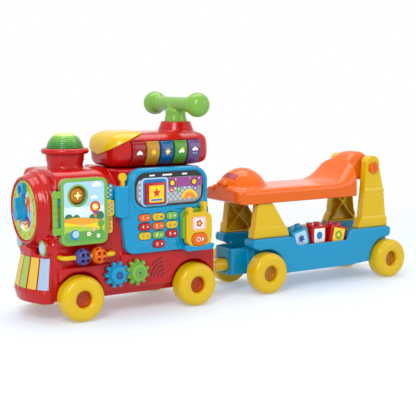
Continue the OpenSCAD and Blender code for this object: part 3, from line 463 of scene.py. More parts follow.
skin = roof.data.copy()
for vert, normal in zip(skin.vertices, [v.normal.copy() for v in skin.vertices]):
    vert.co += normal * CAP_OUT * MM
front, top, half = roof_low.x, roof_high.z - BOSS_H, roof_high.y
cap_edges = [(Vector((front + CAP_LONG, 0, top)), Vector((1, 0, -0.25)))]
for side in (-1, 1):
    tail = Vector((front + CAP_LONG, side * (half - 18 * MM), top + 1 * MM))
    bend = Vector((front + 26 * MM, side * (half - 8 * MM), top - 16 * MM))
    tip = Vector((front + 1 * MM, side * 12 * MM, top - 38 * MM))
    cap_edges.append((tail, -side * (bend - tail).cross(tip - tail)))
cut_to_edges(skin, cap_edges)
cap = add_piece("roof_cap_skin", skin, YELLOW, home["roof_cap"], ["roof_cap"])
print("cap:", len(skin.polygons), "faces", [round(v, 4) for v in cap.dimensions])

# %% Small mouldings
SOFT = {
    "clock_dial": (YELLOW, 0.5), "window_block": (RED, 1.0), "book_cover": (GREEN, 0.6),
    "book_page_front": (BLUE, 0.5), "book_page_back": (YELLOW, 0.5), "bead_purple": (PURPLE, 0.4),
    "bead_orange": (ORANGE, 0.4), "seat_pivot_pins": (ORANGE, 0.8), "red_blocks": (RED, 0.8),
    "yellow_blocks": (YELLOW, 0.8), "blue_blocks": (BLUE, 0.8),
}
NUMBER_SHADES = [RED, ORANGE, YELLOW, GREEN, RED, ORANGE, YELLOW, YELLOW, GREEN, RED]
SOFT.update({f"number_key_{n}": (NUMBER_SHADES[n], 1.2) for n in range(10)})
KEY_EDGE, KEY_SHORT = 1.5, 1.8
for node, (material, width) in SOFT.items():
    piece = soft_copy(node, material, width)
    if node.startswith("number_key"):
        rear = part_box(node)[1].y
        for vert in piece.data.vertices:
            if vert.co.y > rear - KEY_EDGE * MM:
                vert.co.y -= KEY_SHORT * MM
PLAIN = {"engine_axles": STEEL, "wagon_axles": STEEL, "book_hinge_pin": STEEL, "bead_rod": YELLOW,
         "book_light": LIGHT_LENS}
for node, material in PLAIN.items():
    data = nodes[node].data
    data.materials.clear()
    data.materials.append(material)
    data.shade_smooth()
    data.set_sharp_from_angle(angle=SHARP)
print("soft:", len(SOFT), "plain:", len(PLAIN))


# %% [markdown]
# ## Stack and dome
# Both are lathes. The stack flares from a filleted foot to a fat rim. The dome carries fine rings below
# its crown, as a lens does.

# %% Stack and dome
stack_low, stack_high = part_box("smokestack")
stack_foot = Vector((middle("smokestack").x, 0, stack_low.z))
RIM = 6.0
STACK_R = 33.0
stack_rise = (stack_high.z - stack_low.z) / MM
rim_mid = (stack_high.x - stack_low.x) / 2 / MM - RIM
dome_r = rim_mid - 4.0
LIP_IN, WELL = dome_r + 0.4, stack_rise - 14
foot = [(STACK_R + 11, -12), (STACK_R + 11, -5)] + arc((STACK_R + 10, 4), 7.5, 270, 190, 8)
flare = [(STACK_R + 2.4, 6), (STACK_R + 4.5, 14), (rim_mid - 3, stack_rise - 11)]
rim = [(rim_mid + 2, stack_rise - 11.5)] + arc((rim_mid, stack_rise - RIM), RIM, -50, 150, 14)
stack_profile = foot + flare + rim + [(LIP_IN, stack_rise - 4), (LIP_IN, WELL), (0, WELL)]
stack = lathe_mesh("stack", stack_profile, stack_foot, Z, 96)
add_piece("stack", stack, RED, home["smokestack"], ["smokestack"])

DOME_SKIRT = 7.0
RINGS, RING_TOP, RING_OUT = 8, 52, 0.9
ball_r = dome_r - 1.4
dome_base = Vector((stack_foot.x, 0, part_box("stack_dome")[0].z))
dome_profile = [(0, 0.5), (dome_r - 1, 0.5), (dome_r - 0.3, 1.5), (dome_r - 0.3, DOME_SKIRT)]
for step in range(91):
    swell = RING_OUT * abs(math.sin(math.pi * RINGS * step / RING_TOP)) if step < RING_TOP else 0.0
    dome_profile.append(on_circle(0, DOME_SKIRT, ball_r + swell, step))
dome = lathe_mesh("dome", dome_profile, dome_base, Z, 96)
add_piece("dome", dome, DOME_LENS, home["stack_dome"], ["stack_dome"])
print("stack:", len(stack.polygons), "dome:", len(dome.polygons))


# %% [markdown]
# ## Wheels
# Each wheel is one fat lathe: a broad tread, a big round shoulder and a deep hole. A second lathe lines
# the hole and closes it with a hub disc. Its colour is painted shade of the deep hole: amber on the
# wagon and red on the engine, where the red also stands for the red boss at the hole's bottom.

# %% Wheels and hubs
WHEEL_HUB, WHEEL_BORE, WHEEL_DEEP = 16.5, 3.1, 24.0
INNER_EDGE, SHOULDER, MOUTH = 5.0, 13.0, 9.0


def wheel_profile(radius, width):
    """Inner face, tread, round shoulder, dished face and deep hole."""
    floor = width - WHEEL_DEEP
    edge = radius - INNER_EDGE
    return ([(WHEEL_BORE, 0), (edge, 0)] + arc((edge, INNER_EDGE), INNER_EDGE, -90, 0)
            + arc((radius - SHOULDER, width - SHOULDER), SHOULDER, 0, 90, 12)
            + arc((WHEEL_HUB + MOUTH, width - MOUTH - 0.5), MOUTH, 90, 180, 10)
            + [(WHEEL_HUB, floor + 2), (WHEEL_HUB - 2, floor), (WHEEL_BORE, floor), (WHEEL_BORE, 0)])


def hub_profile(floor, width):
    """A lining of the hole and a disc with a shallow dimple, clear of the axle's cap behind it."""
    return ([(WHEEL_HUB - 0.3, width - MOUTH - 0.5)] + arc((WHEEL_HUB - 3.3, floor + 8), 3, 0, -90, 5)
            + [(10, floor + 5), (8, floor + 4.8), (0, floor + 4.6)])


wheels = [n for n in nodes if "_wheel_" in n]
for node in wheels:
    low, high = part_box(node)
    out = -Y if node.endswith("left") else Y
    radius, width = (high.x - low.x) / 2 / MM, (high.y - low.y) / MM
    inner = middle(node) - out * (high.y - low.y) / 2
    tyre = lathe_mesh(node + "_tyre", wheel_profile(radius, width), inner, out)
    add_piece(node + "_tyre", tyre, YELLOW, home[node], [node])
    hub = lathe_mesh(node + "_hub", hub_profile(width - WHEEL_DEEP, width), inner, out)
    # The hub's colour is painted shade of the wheel's hole. On the engine it is also the red boss.
    add_piece(node + "_hub", hub, HUB_RED_AND_HOLE_SHADE if node.startswith("engine") else WAGON_HOLE_SHADE, home[node])
print("wheels:", len(wheels))


# %% [markdown]
# ## Printed films
# A print is a thin film over a surface. It is drawn as flat shapes in millimetres, each with an ink,
# and later shapes lie a little higher, so that none share a plane. A film over a curved surface is cast
# on to it with rays.

# %% Flat shapes
def disc(u, v, r, n=28):
    return [[on_circle(u, v, r, 360 * k / n) for k in range(n)]]


def ring(u, v, r0, r1, start=0, end=360, n=40):
    """A ring, or a part of one, as quads."""
    quads = []
    for k in range(n):
        a, b = (start + (end - start) * j / n for j in (k, k + 1))
        quads.append([on_circle(u, v, r, t) for r, t in ((r0, a), (r1, a), (r1, b), (r0, b))])
    return quads


def slab(u0, v0, u1, v1, r=0.0):
    """A rectangle with round corners."""
    if not r:
        return [[(u0, v0), (u1, v0), (u1, v1), (u0, v1)]]
    return [arc((u1 - r, v0 + r), r, -90, 0) + arc((u1 - r, v1 - r), r, 0, 90)
            + arc((u0 + r, v1 - r), r, 90, 180) + arc((u0 + r, v0 + r), r, 180, 270)]


def star(u, v, r, tips=5, inner=0.45, start=90):
    reaches = (r, r * inner)
    return [[on_circle(u, v, reaches[k % 2], start + 180 * k / tips) for k in range(2 * tips)]]


def hill(u0, u1, base, top, waves, phase, steps=24, swell=3.5):
    """Ground with a wavy upper edge."""
    shares = [k / steps for k in range(steps + 1)]
    edge = [(u0 + (u1 - u0) * s, top + swell * math.sin(phase + waves * math.pi * s)) for s in shares]
    return [[(u0, base), (u1, base)] + edge[::-1]]


def cloud(u, v, s):
    return disc(u - 0.9 * s, v, 0.6 * s) + disc(u, v + 0.35 * s, 0.8 * s) + disc(u + 0.95 * s, v, 0.55 * s)


def flower(u, v, r):
    return [p for k in range(5) for p in disc(*on_circle(u, v, r, 72 * k), 0.62 * r, 12)]


def moved(polys, du, dv):
    return [[(du + u, dv + v) for u, v in poly] for poly in polys]


def numeral(text, size):
    """Outline faces of a number, centred, from the built-in type."""
    curve = bpy.data.curves.new("numeral", "FONT")
    curve.body, curve.size = text, size
    curve.align_x, curve.align_y = "CENTER", "CENTER"
    curve.resolution_u = 4
    obj = bpy.data.objects.new("numeral", curve)
    bpy.context.scene.collection.objects.link(obj)
    mesh = finished(obj)
    bpy.data.curves.remove(curve)
    return [[tuple(mesh.vertices[i].co.xy) for i in face.vertices] for face in mesh.polygons]


# %% Film maker
LAYER, LAYER_SHARE = 0.05, 0.8
REACH = 0.12


def film(name, origin, right, up, shapes, body, onto=None, lift=0.2):
    """Lay (ink, faces) pairs on the plane through origin, or cast them on to a tree of faces."""
    out = right.cross(up)
    verts, faces, inks, used = [], [], [], []
    for layer, (shade, polys) in enumerate(shapes):
        if shade not in used:
            used.append(shade)
        for k, poly in enumerate(polys):
            first = len(verts)
            rise = lift + LAYER * (layer + LAYER_SHARE * k / len(polys))
            for u, v in poly:
                point = origin + (right * u + up * v) * MM
                if onto is not None:
                    point = onto.ray_cast(point + out * REACH, -out)[0] or point
                verts.append(point + out * rise * MM)
            faces.append(range(first, len(verts)))
            inks.append(used.index(shade))
    mesh = mesh_from(name, verts, faces)
    piece = add_piece(name, mesh, None, body)
    for shade in used:
        mesh.materials.append(INK[shade])
    mesh.polygons.foreach_set("material_index", inks)
    return piece


def face_y(node, x, z):
    """How far out the near face of a CAD node is, at this place."""
    return tree_of(nodes[node].data).ray_cast(Vector((x, -0.5, z)), Y)[0].y


# %% [markdown]
# Dots in rows come from Geometry Nodes: a mesh of bare points, and a group that sets a flat dot on each.

# %% Dots on points
DOT_DEPTH = 0.0004


def dot_group():
    """Points in; dots facing the near side out, with their radius and material."""
    group = bpy.data.node_groups.new("dots_on_points", "GeometryNodeTree")
    face = group.interface
    face.new_socket("Geometry", in_out="INPUT", socket_type="NodeSocketGeometry")
    radius = face.new_socket("Radius", in_out="INPUT", socket_type="NodeSocketFloat")
    shade = face.new_socket("Material", in_out="INPUT", socket_type="NodeSocketMaterial")
    face.new_socket("Geometry", in_out="OUTPUT", socket_type="NodeSocketGeometry")
    start, end = group.nodes.new("NodeGroupInput"), group.nodes.new("NodeGroupOutput")
    dot = group.nodes.new("GeometryNodeMeshCylinder")
    dot.inputs["Vertices"].default_value = 20
    dot.inputs["Depth"].default_value = DOT_DEPTH
    place = group.nodes.new("GeometryNodeInstanceOnPoints")
    place.inputs["Rotation"].default_value = Euler((math.pi / 2, 0, 0))
    real = group.nodes.new("GeometryNodeRealizeInstances")
    paint = group.nodes.new("GeometryNodeSetMaterial")
    link = group.links.new
    link(start.outputs["Geometry"], place.inputs["Points"])
    link(start.outputs["Radius"], dot.inputs["Radius"])
    link(dot.outputs["Mesh"], place.inputs["Instance"])
    link(place.outputs["Instances"], real.inputs["Geometry"])
    link(real.outputs["Geometry"], paint.inputs["Geometry"])
    link(start.outputs["Material"], paint.inputs["Material"])
    link(paint.outputs["Geometry"], end.inputs["Geometry"])
    return group, radius.identifier, shade.identifier


DOTS, DOTS_RADIUS, DOTS_SHADE = dot_group()


def dots(name, points, radius, material, body):
    """Flat dots at these points, as one piece."""
    obj = scratch_object(mesh_from(name, points, []))
    repeat = obj.modifiers.new("dots", "NODES")
    repeat.node_group = DOTS
    repeat[DOTS_RADIUS] = radius * MM
    repeat[DOTS_SHADE] = material
    return add_piece(name, finished(obj), None, body)


print("group nodes:", len(DOTS.nodes))


# %% [markdown]
# ## Face of the engine
# The clock gets a lime hour ring, coloured sectors and plain numbers. The lamps get glass and green
# rims. The skirt between its ribs gets a sticker in each bay. The loudspeaker's grille slots and holes are
# painted dark red on the near side, as painted shade of the openings, and the far side gets dark red dots
# as painted shade of its screw pits.

# %% Clock
dial_low, dial_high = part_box("clock_dial")
DIAL_T = 6.0
dial_r = (dial_high.y - dial_low.y) / 2 / MM
face = Vector((dial_high.x - DIAL_T * MM, 0, middle("clock_dial").z))
HOUR_R, FIELD_R, HUB_R = dial_r - 8, dial_r - 20, 16
wedges = ["pink", "orange", "white", "yellow", "plum", "sky"]
clock = [("lime", ring(0, 0, dial_r - 18, dial_r - 0.6, n=72)),
         ("white", ring(0, 0, FIELD_R, dial_r - 18, n=72))]
for k in range(12):
    clock.append((wedges[k % 6], ring(0, 0, HUB_R, FIELD_R, 30 * k, 30 * k + 30, 6)))
clock += [("red", ring(0, 0, 26, 28.5, n=48)), ("orange", ring(0, 0, 6, HUB_R, n=48))]
film("clock_print", face, -Y, Z, clock, home["clock_dial"])
hour_inks = ["plum", "red", "navy"]
hours = []
for k in range(1, 13):
    place = on_circle(0, 0, HOUR_R, 90 - 30 * k)
    hours.append((hour_inks[k % 3], moved(numeral(str(k), 8.5), *place)))
film("clock_numbers", face, -Y, Z, hours, home["clock_dial"], lift=1.2)
print("clock radius:", round(dial_r, 1))

# %% Lamps
body_tree = tree_of(body_red.data)
LAMP_Y, LAMP_DROP, LENS_R, LENS_RISE = 55.0, 69.0, 12.6, 5.0
quarter = [math.pi / 20 * k for k in range(11)]
lens = [(LENS_R, -2)] + [(LENS_R * math.cos(t), LENS_RISE * math.sin(t)) for t in quarter]
bead = arc((LENS_R + 1.2, -0.3), 1.8, -60, 240, 12)
for side in (-1, 1):
    aim = Vector((-1.0, side * LAMP_Y * MM, face.z - LAMP_DROP * MM))
    front = body_tree.ray_cast(aim, X)[0]
    name = "lamp_near" if side < 0 else "lamp_far"
    add_piece(name, lathe_mesh(name, lens, front, -X, 40), GLASS, "engine")
    add_piece(name + "_rim", lathe_mesh(name + "_rim", bead, front, -X, 40), GREEN, "engine")
print("lamp front:", round(front.x, 4))

# %% Skirt stickers
SKIRT_R, RIB_STEP, RIB_HALF = 107.0, 15.0, 1.0
STICKER_FOOT, STICKER_TOP, STICKER_OUT = 64.0, 124.0, 0.4
ROWS, COLUMNS = 11, 9
skirt_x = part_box("chassis")[0].x + SKIRT_R * MM
bays = ["haze", "straw", "moss", "straw", "moss", "haze"]
verts, faces, inks = [], [], []
for bay in range(len(bays)):
    start = (bay - 3) * RIB_STEP + RIB_HALF
    for row in range(ROWS):
        z = STICKER_FOOT + (STICKER_TOP - STICKER_FOOT) * row / (ROWS - 1)
        for k in range(COLUMNS):
            t = math.radians(start + (RIB_STEP - 2 * RIB_HALF) * k / (COLUMNS - 1))
            away = Vector((-math.cos(t), math.sin(t), 0))
            at = Vector((skirt_x, 0, z * MM))
            hit = body_tree.ray_cast(at + away * 0.2, -away)[0]
            verts.append(hit + away * STICKER_OUT * MM)
            if row and k:
                a = len(verts) - 1
                faces.append((a, a - COLUMNS, a - COLUMNS - 1, a - 1))
                inks.append(bay)
skirt = mesh_from("skirt_stickers", verts, faces)
add_piece("skirt_stickers", skirt, None, "engine")
for shade in bays:
    skirt.materials.append(INK[shade])
skirt.polygons.foreach_set("material_index", inks)
print("sticker faces:", len(faces))

# %% Grille
GRILLE_OUT, SLOT_HALF, HOLE_R = 36.0, 1.3, 1.7
ARCS = [(9, 95, 178), (17, 95, 178), (25, 98, 176), (33, 98, 172), (41, 96, 138)]
HOLES = [(38, 16), (44, 5), (40, -6), (45, -17), (38, -24)]
grille = [p for r, start, end in ARCS for p in ring(32, -18, r - SLOT_HALF, r + SLOT_HALF, start, end, 16)]
grille += [p for u, v in HOLES for p in disc(u, v, HOLE_R, 16)]
gear = middle("gear_green")
grille_at = Vector((gear.x + GRILLE_OUT * MM, 0, gear.z))
# The slots and holes are a dark red print: painted shade of the grille's openings.
film("grille_hole_shade", grille_at, X, Z, [("opening_shade_red", grille)], "engine", body_tree, 0.3)
print("grille slots:", len(ARCS), "holes:", len(HOLES))

# %% Screw pits on the far side
cab_low, cab_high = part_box("cab_shell")
PIT_R = 3.4
pits = []
for x in (cab_low.x + 40 * MM, (cab_low.x + cab_high.x) / 2, cab_high.x - 30 * MM):
    for z in (cab_low.z + 20 * MM, cab_high.z - 25 * MM):
        pits.append(body_tree.ray_cast(Vector((x, 0.5, z)), -Y)[0])
# Dark red dots where the screws sit: painted shade of the screw pits.
dots("screw_pit_shade", pits, PIT_R, INK["opening_shade_red"], "engine")
print("screw pits:", len(pits))


# %% [markdown]
# ## Book
# The cover shows a landscape of its own: hills, a pond, trees and a balloon. A plate with dots lies over
# each CAD tab and makes it longer.

# %% Book cover
book_low, book_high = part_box("book_cover")
LEAF_W, LEAF_BACK, COVER_RIM = 99.0, 14.5, 6.4
book_x = book_low.x + LEAF_BACK * MM
cover_h = (book_high.z - book_low.z) / MM
cover_y = face_y("book_cover", book_x + 70 * MM, book_low.z + 30 * MM)
w, h = LEAF_W - 2 * COVER_RIM, cover_h - 2 * COVER_RIM
light_u, light_v, LIGHT_HOLE = 36 - COVER_RIM, cover_h - 33 - COVER_RIM, 18.6


def around_light(steps=96):
    """The picture's field with a round hole for the light, as quads between the hole and the edge."""
    rim = []
    for k in range(steps + 1):
        c, s = on_circle(0, 0, 1, 360 * k / steps)
        far_u = ((w - light_u) if c > 0 else light_u) / max(abs(c), 1e-6)
        far_v = ((h - light_v) if s > 0 else light_v) / max(abs(s), 1e-6)
        rim.append([(light_u + r * c, light_v + r * s) for r in (LIGHT_HOLE, min(far_u, far_v))])
    return [[a, b, e, d] for (a, b), (d, e) in zip(rim, rim[1:])]


scene_shapes = [
    ("sky", around_light()), ("pale", slab(0.5, 48, w - 0.5, 68)),
    ("white", cloud(70, 108, 6.5) + cloud(64, 84, 4.5) + cloud(30, 60, 5)),
    ("leaf", disc(10, 46, 9) + disc(26, 45, 8) + disc(76, 48, 9) + disc(60, 45, 7)),
    ("gold", hill(0.3, w - 0.3, 30, 44, 1.3, 0.4)), ("yellow", hill(0.3, w - 0.3, 24, 36, 1.6, 2.2)),
    ("lime", hill(0.4, w - 0.4, 9, 28, 1.2, 1.0)), ("green", slab(0.4, 0.4, w - 0.4, 20, 8)),
    ("blue", disc(22, 14, 10)), ("sky", disc(24, 15, 7)),
    ("red", disc(66, 66, 11)), ("yellow", ring(66, 66, 3.5, 7)), ("white", disc(66, 66, 3.5)),
    ("orange", slab(63, 46, 69, 51)), ("plum", [[(60.5, 56), (71.5, 56), (68.5, 51.5), (63.5, 51.5)]]),
    ("white", flower(52, 14, 3) + flower(72, 9, 2.6)), ("pink", flower(62, 22, 2.8) + flower(40, 30, 2.2)),
    ("gold", disc(52, 14, 1.6) + disc(72, 9, 1.5) + disc(62, 22, 1.5) + disc(40, 30, 1.2)),
    ("leaf", slab(77, 18, 79, 30)), ("green", disc(78, 33, 7)),
]
corner = Vector((book_x + COVER_RIM * MM, cover_y, book_low.z + COVER_RIM * MM))
film("book_picture", corner, X, Z, scene_shapes, home["book_cover"])
light = middle("book_light")
light_tree = tree_of(nodes["book_light"].data)
LIGHT_R = 13.5
rays = [("gold", disc(0, 0, LIGHT_R)), ("orange", ring(0, 0, 11, LIGHT_R)),
        ("yellow", star(0, 0, 11, 8, 0.3)), ("glow", star(0, 0, 8, 4, 0.25) + disc(0, 0, 2.6))]
film("book_light_print", light, X, Z, rays, home["book_light"], light_tree)
print("picture:", round(w, 1), "by", round(h, 1), "mm")

# %% Tabs
def plate(name, outline, front, thick):
    """A flat plate with this outline in X and Z, that goes back from a front corner."""
    n = len(outline)
    verts = [front + Vector((u, d, v)) * MM for d in (0, thick) for u, v in outline]
    sides = [(k, k + n, (k + 1) % n + n, (k + 1) % n) for k in range(n)]
    return mesh_from(name, verts, [range(n), range(2 * n - 1, n - 1, -1)] + sides)


TABS = {
    "book_page_front": (35.5, 45, 15, BLUE, "yellow"), "book_cover": (51.5, 77, 46, YELLOW, "blue"),
    "book_page_back": (67.5, 112, 61, YELLOW, "plum"),
}
TAB_IN, TAB_LONG, TAB_T, TAB_ROUND = 10.0, 15.0, 3.8, 5.0
TAB_LIFT, TAB_DOT = 0.15, 1.9
tab_x = book_x + LEAF_W * MM
for node, (row, foot, head, material, shade) in TABS.items():
    y = face_y(node, tab_x + TAB_LONG / 2 * MM, book_high.z - row * MM) - TAB_LIFT * MM
    at = Vector((tab_x, y, book_high.z))
    outline = slab(-TAB_IN, -foot, TAB_LONG, -head, TAB_ROUND)[0]
    add_piece(node + "_tab", plate(node + "_tab", outline, at, TAB_T), material, home[node])
    places = [(4 + 5.5 * i, 5 + 8.5 * j + 4 * i - foot) for i in range(2) for j in range(3)]
    points = [at + Vector((u, 0, v)) * MM - Y * DOT_DEPTH / 2 for u, v in places]
    dots(node + "_dots", points, TAB_DOT, INK[shade], home[node])
for node in ("book_page_front", "book_page_back"):
    mesh = bpy.data.objects[node + "_moulding"].data
    mesh.materials.append(GREEN)
    barrel = [1 if f.center.x < book_x - 0.5 * MM else 0 for f in mesh.polygons]
    mesh.polygons.foreach_set("material_index", barrel)
print("tabs:", len(TABS))


# %% [markdown]
# ## Telephone panel, blocks and gears
# The window shows a dashboard of plain instruments. The block in it has a label, and so do the blocks in
# the bin. Each number key has its number and a small sign, each piano key a weather sign, and the handset
# a screen. The gears get wavy teeth, a tall boss and a print.

# %% Window
key_low, key_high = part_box("number_key_1")
hand_low, hand_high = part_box("handset")
PANEL_OUT, RECESS = 4.0, 2.0
AT_LEFT, AT_FOOT, AT_RIGHT, AT_HEAD = 9.2, 11.7, 8.0, 6.0
panel_y = key_low.y + PANEL_OUT * MM
window = Vector((key_low.x - AT_LEFT * MM, panel_y + RECESS * MM, key_high.z + AT_FOOT * MM))
ww = (hand_high.x - AT_RIGHT * MM - window.x) / MM
wh = (roof_low.z - AT_HEAD * MM - window.z) / MM
CHECK, BAND = 5.5, 13
columns, rows = range(2, int(ww / CHECK) - 2), range(2, int((wh - BAND - 1) / CHECK))
checks = [p for i in columns for j in rows if (i + j) % 2
          for p in slab(i * CHECK, j * CHECK, (i + 1) * CHECK, (j + 1) * CHECK)]
block_low, block_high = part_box("window_block")
b0, b1 = (block_low.x - window.x) / MM, (block_high.x - window.x) / MM
b2 = (block_high.z - window.z) / MM
side_u = b1 + 12
knobs = [(side_u + 6, 47), (ww - 24, 47)]
buttons = [("red", side_u + 4, 5), ("green", side_u + 21, 4), ("plum", ww - 22, 6)]
dashes = [p for u0, u1 in ((36, 48), (66, 88), (112, 124)) for p in slab(u0, wh - 9, u1, wh - 6)]
dash = [
    ("black", slab(1, 1, ww - 1, wh - 1, 24)), ("grey", slab(6.5, 6, ww - 6.5, wh - BAND, 18)),
    ("mist", checks), ("plum", slab(side_u - 6, 38, ww - 4, wh - BAND - 1, 5)),
    ("pink", star(side_u + 14, 54, 3) + star(ww - 34, 55, 2.4) + star(ww - 12, 54, 3)), ("white", dashes),
    ("sky", slab(b0 - 8, 3, b1 + 8, b2 + 3, 9)), ("blue", slab(b0 - 4, 5, b1 + 4, b2, 6)),
    ("black", [p for u, v in knobs for p in disc(u, v, 7)]),
    ("yellow", [p for u, v in knobs for p in disc(u, v, 5)]),
]
dash += [(shade, disc(u, 33, 5.5)) for shade, u, _ in buttons]
dash += [("white", [p for _, u, tips in buttons for p in star(u, 33, 3, tips)])]
dash += [(shade, ring(ww - 36, 12, 4 + 4 * k, 8.2 + 4 * k, 8, 172, 16))
         for k, shade in enumerate(("gold", "orange", "gold", "yellow"))]
film("window_print", window, X, Z, dash, "engine", lift=0.5)
print("window:", round(ww, 1), "by", round(wh, 1), "mm")


# %% Labels of the blocks
def label(half, back, sign, shade):
    """A square label with a plain sign in its middle."""
    return [(back, slab(-half, -half, half, half, 2)), (shade, sign)]


face_mid = Vector((middle("window_block").x, block_low.y, block_low.z + 20 * MM))
block_label = label(17, "yellow", star(0, 2, 10), "red") + [("blue", slab(-13, -14, 13, -10, 1.5))]
film("window_block_label", face_mid, X, Z, block_label, home["window_block"])

BLOCK_SIGNS = [("yellow", star(0, 0, 10), "red"), ("white", disc(0, 0, 9), "blue"),
               ("yellow", ring(0, 0, 5, 10), "green"), ("pink", slab(-8, -8, 8, 8, 3), "plum"),
               ("white", star(0, 0, 11, 3, 0.5), "orange"), ("sky", star(0, 0, 11, 6, 0.5), "navy")]


def loose_parts(mesh):
    """The separate solids of a mesh from front to rear, as (normal, area, middle) of their faces."""
    bm = bmesh.new()
    bm.from_mesh(mesh)
    bmesh.ops.remove_doubles(bm, verts=bm.verts, dist=2 * WELD)
    bm.verts.ensure_lookup_table()
    seen, parts = set(), []
    for first in bm.verts:
        todo, part = [first], {}
        while todo:
            vert = todo.pop()
            if vert.index in seen:
                continue
            seen.add(vert.index)
            for side in vert.link_faces:
                part[side.index] = (side.normal.copy(), side.calc_area(), side.calc_center_median())
                todo.extend(side.verts)
        if part:
            parts.append(list(part.values()))
    bm.free()
    return sorted(parts, key=lambda part: sum(f[2].x for f in part) / len(part))


FACING, UPWARD, FACE_DEPTH = 0.9, 0.85, 6 * MM
labels = 0
for node in ("red_blocks", "yellow_blocks", "blue_blocks"):
    for part in loose_parts(nodes[node].data):
        front = min(f[2].y for f in part if f[0].y < -FACING)
        near = [f for f in part if f[0].y < -FACING and f[2].y < front + FACE_DEPTH]
        top = [f for f in part if f[0].z > UPWARD]
        if not near or not top:
            continue
        area = sum(f[1] for f in near)
        mid = sum((f[2] * f[1] for f in near), Vector()) / area
        out = sum((f[0] * f[1] for f in near), Vector()).normalized()
        up = sum((f[0] * f[1] for f in top), Vector()).normalized()
        up = (up - out * up.dot(out)).normalized()
        right = up.cross(out)
        back, sign, shade = BLOCK_SIGNS[labels % len(BLOCK_SIGNS)]
        film(f"block_label_{labels + 1}", mid, right, up, label(16, back, sign, shade), home[node])
        labels += 1
print("block labels:", labels)

# %% Number keys
SIGNS = [disc(0, 0, 1.9, 16), star(0, 0, 2.4), slab(-1.8, -1.8, 1.8, 1.8, 0.6), ring(0, 0, 1.1, 2.1, n=16),
         star(0, 0, 2.4, 4), slab(-2.2, -1, 2.2, 1, 0.9), star(0, 0, 2.2, 6), disc(0, 0, 1.9, 3),
         ring(0, 0, 0.9, 2.1, 0, 270, 14), flower(0, 0, 1.3)]
for n, sign in enumerate(SIGNS):
    node = f"number_key_{n}"
    spot = Vector((middle(node).x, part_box(node)[0].y, middle(node).z))
    pale = "navy" if NUMBER_SHADES[n] is YELLOW else "white"
    prints = [(pale, moved(numeral(str(n), 9.5), -5, 0) + moved(sign, 5.5, 0))]
    film(node + "_print", spot, X, Z, prints, home[node])
print("number keys:", len(SIGNS))

# %% Piano keys
WEATHER = {
    1: [("sky", disc(0, 0, 4)), ("white", cloud(0, -2, 4.5))],
    2: [("gold", star(0, 0, 8, 9, 0.6)), ("yellow", disc(0, 0, 3.6))],
    3: [("yellow", star(0, 0, 9, 8, 0.35)), ("glow", disc(0, 0, 2.6))],
    4: [("yellow", disc(2.5, 3, 4)), ("white", cloud(0, -1, 4.6))],
    5: [("white", cloud(0, 2, 4.6)), ("sky", disc(-4, -5, 1.3) + disc(0, -6, 1.3) + disc(4, -5, 1.3))],
}
TILT = math.radians(12)
up = Vector((0, math.sin(TILT), math.cos(TILT)))
for n, shapes in WEATHER.items():
    node = f"piano_key_{n}"
    film(node + "_print", middle(node), X, up, shapes, home[node], tree_of(nodes[node].data), 0.25)
print("piano keys:", len(WEATHER))

# %% Handset
SCREEN_UP = 48.0
screen = Vector((middle("handset").x, 0, hand_low.z + SCREEN_UP * MM))
screen.y = face_y("handset", screen.x, screen.z)
picture = [("pink", slab(-16.6, -14, 16.6, 14, 5)), ("white", slab(-12, -10, 12, 10, 4)),
           ("red", flower(0, 0, 5)), ("yellow", disc(0, 0, 3))]
film("handset_screen", screen, X, Z, picture, home["handset"], lift=0.4)
call = middle("handset_button")
call.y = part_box("handset_button")[0].y
call_sign = [("white", ring(-4, 0, 3.6, 5) + [[(4, -4), (10, 0), (4, 4)]])]
film("call_print", call, X, Z, call_sign, home["handset_button"], lift=0.5)
print("screen at:", [round(v, 4) for v in screen])

# %% Gears
TEETH, TOOTH, TOOTH_FLAT, GEAR_FRONT = 10, 3.6, 1.7, 2.0
BOSS = [(17.6, -0.4), (17.2, 5.4), (16.4, 6.6), (15, 7.1), (9, 7.5), (0.01, 7.6)]
GEAR_STEPS = 240


def gear_mesh(name, node, phase):
    """A fat gear with wavy teeth, a round edge and a tall boss, over the CAD gear's thickness."""
    low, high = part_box(node)
    centre = Vector((middle(node).x, high.y, middle(node).z))
    pitch = abs(middle("gear_green").x - middle("gear_blue").x) / 2 / MM
    depth = (high.y - low.y) / MM + GEAR_FRONT
    levels = [(0, -1.0), (depth * 0.2, 0.2), (depth * 0.75, 0.2), (depth * 0.92, -0.8), (depth, -2.6)]
    turns = [2 * math.pi * k / GEAR_STEPS for k in range(GEAR_STEPS)]
    crest = TOOTH / math.tanh(TOOTH_FLAT)
    waves = [crest * math.tanh(TOOTH_FLAT * math.cos(TEETH * t + phase)) for t in turns]
    rings = [(along, [pitch + wave + grow for wave in waves]) for along, grow in levels]
    rings += [(depth + rise, [r] * GEAR_STEPS) for r, rise in BOSS]
    verts = [centre + Vector((r * math.cos(t), -along, r * math.sin(t))) * MM
             for along, radii in rings for r, t in zip(radii, turns)]
    back = tuple(range(GEAR_STEPS))[::-1]
    return mesh_from(name, verts, band_faces(len(rings), GEAR_STEPS) + [back])


grown = [1.6 + 1.4 * k / 6 for k in range(24)]
spiral = [p for k, r in enumerate(grown) for p in ring(0, 0, r, r + 1.2, 60 * k, 60 * k + 64, 6)]
badge = ring(0, 0, 8, 9.2, n=32) + star(0, 0, 6, 5, 0.4)
GEARS = {"gear_blue": (BLUE, "navy", spiral, 0.0), "gear_green": (GREEN, "leaf", badge, math.pi)}
for node, (material, shade, sign, phase) in GEARS.items():
    gear_piece = gear_mesh(node + "_moulding", node, phase)
    add_piece(node + "_moulding", gear_piece, material, home[node], [node])
    film(node + "_print", middle(node), X, Z, [(shade, sign)], home[node], tree_of(gear_piece))
print("gears:", len(GEARS))


# %% [markdown]
# ## Seat
# The front lip carries finger ridges, and the hump above it a pocket, drawn as a flat scarlet patch: painted
# shade of its recess.

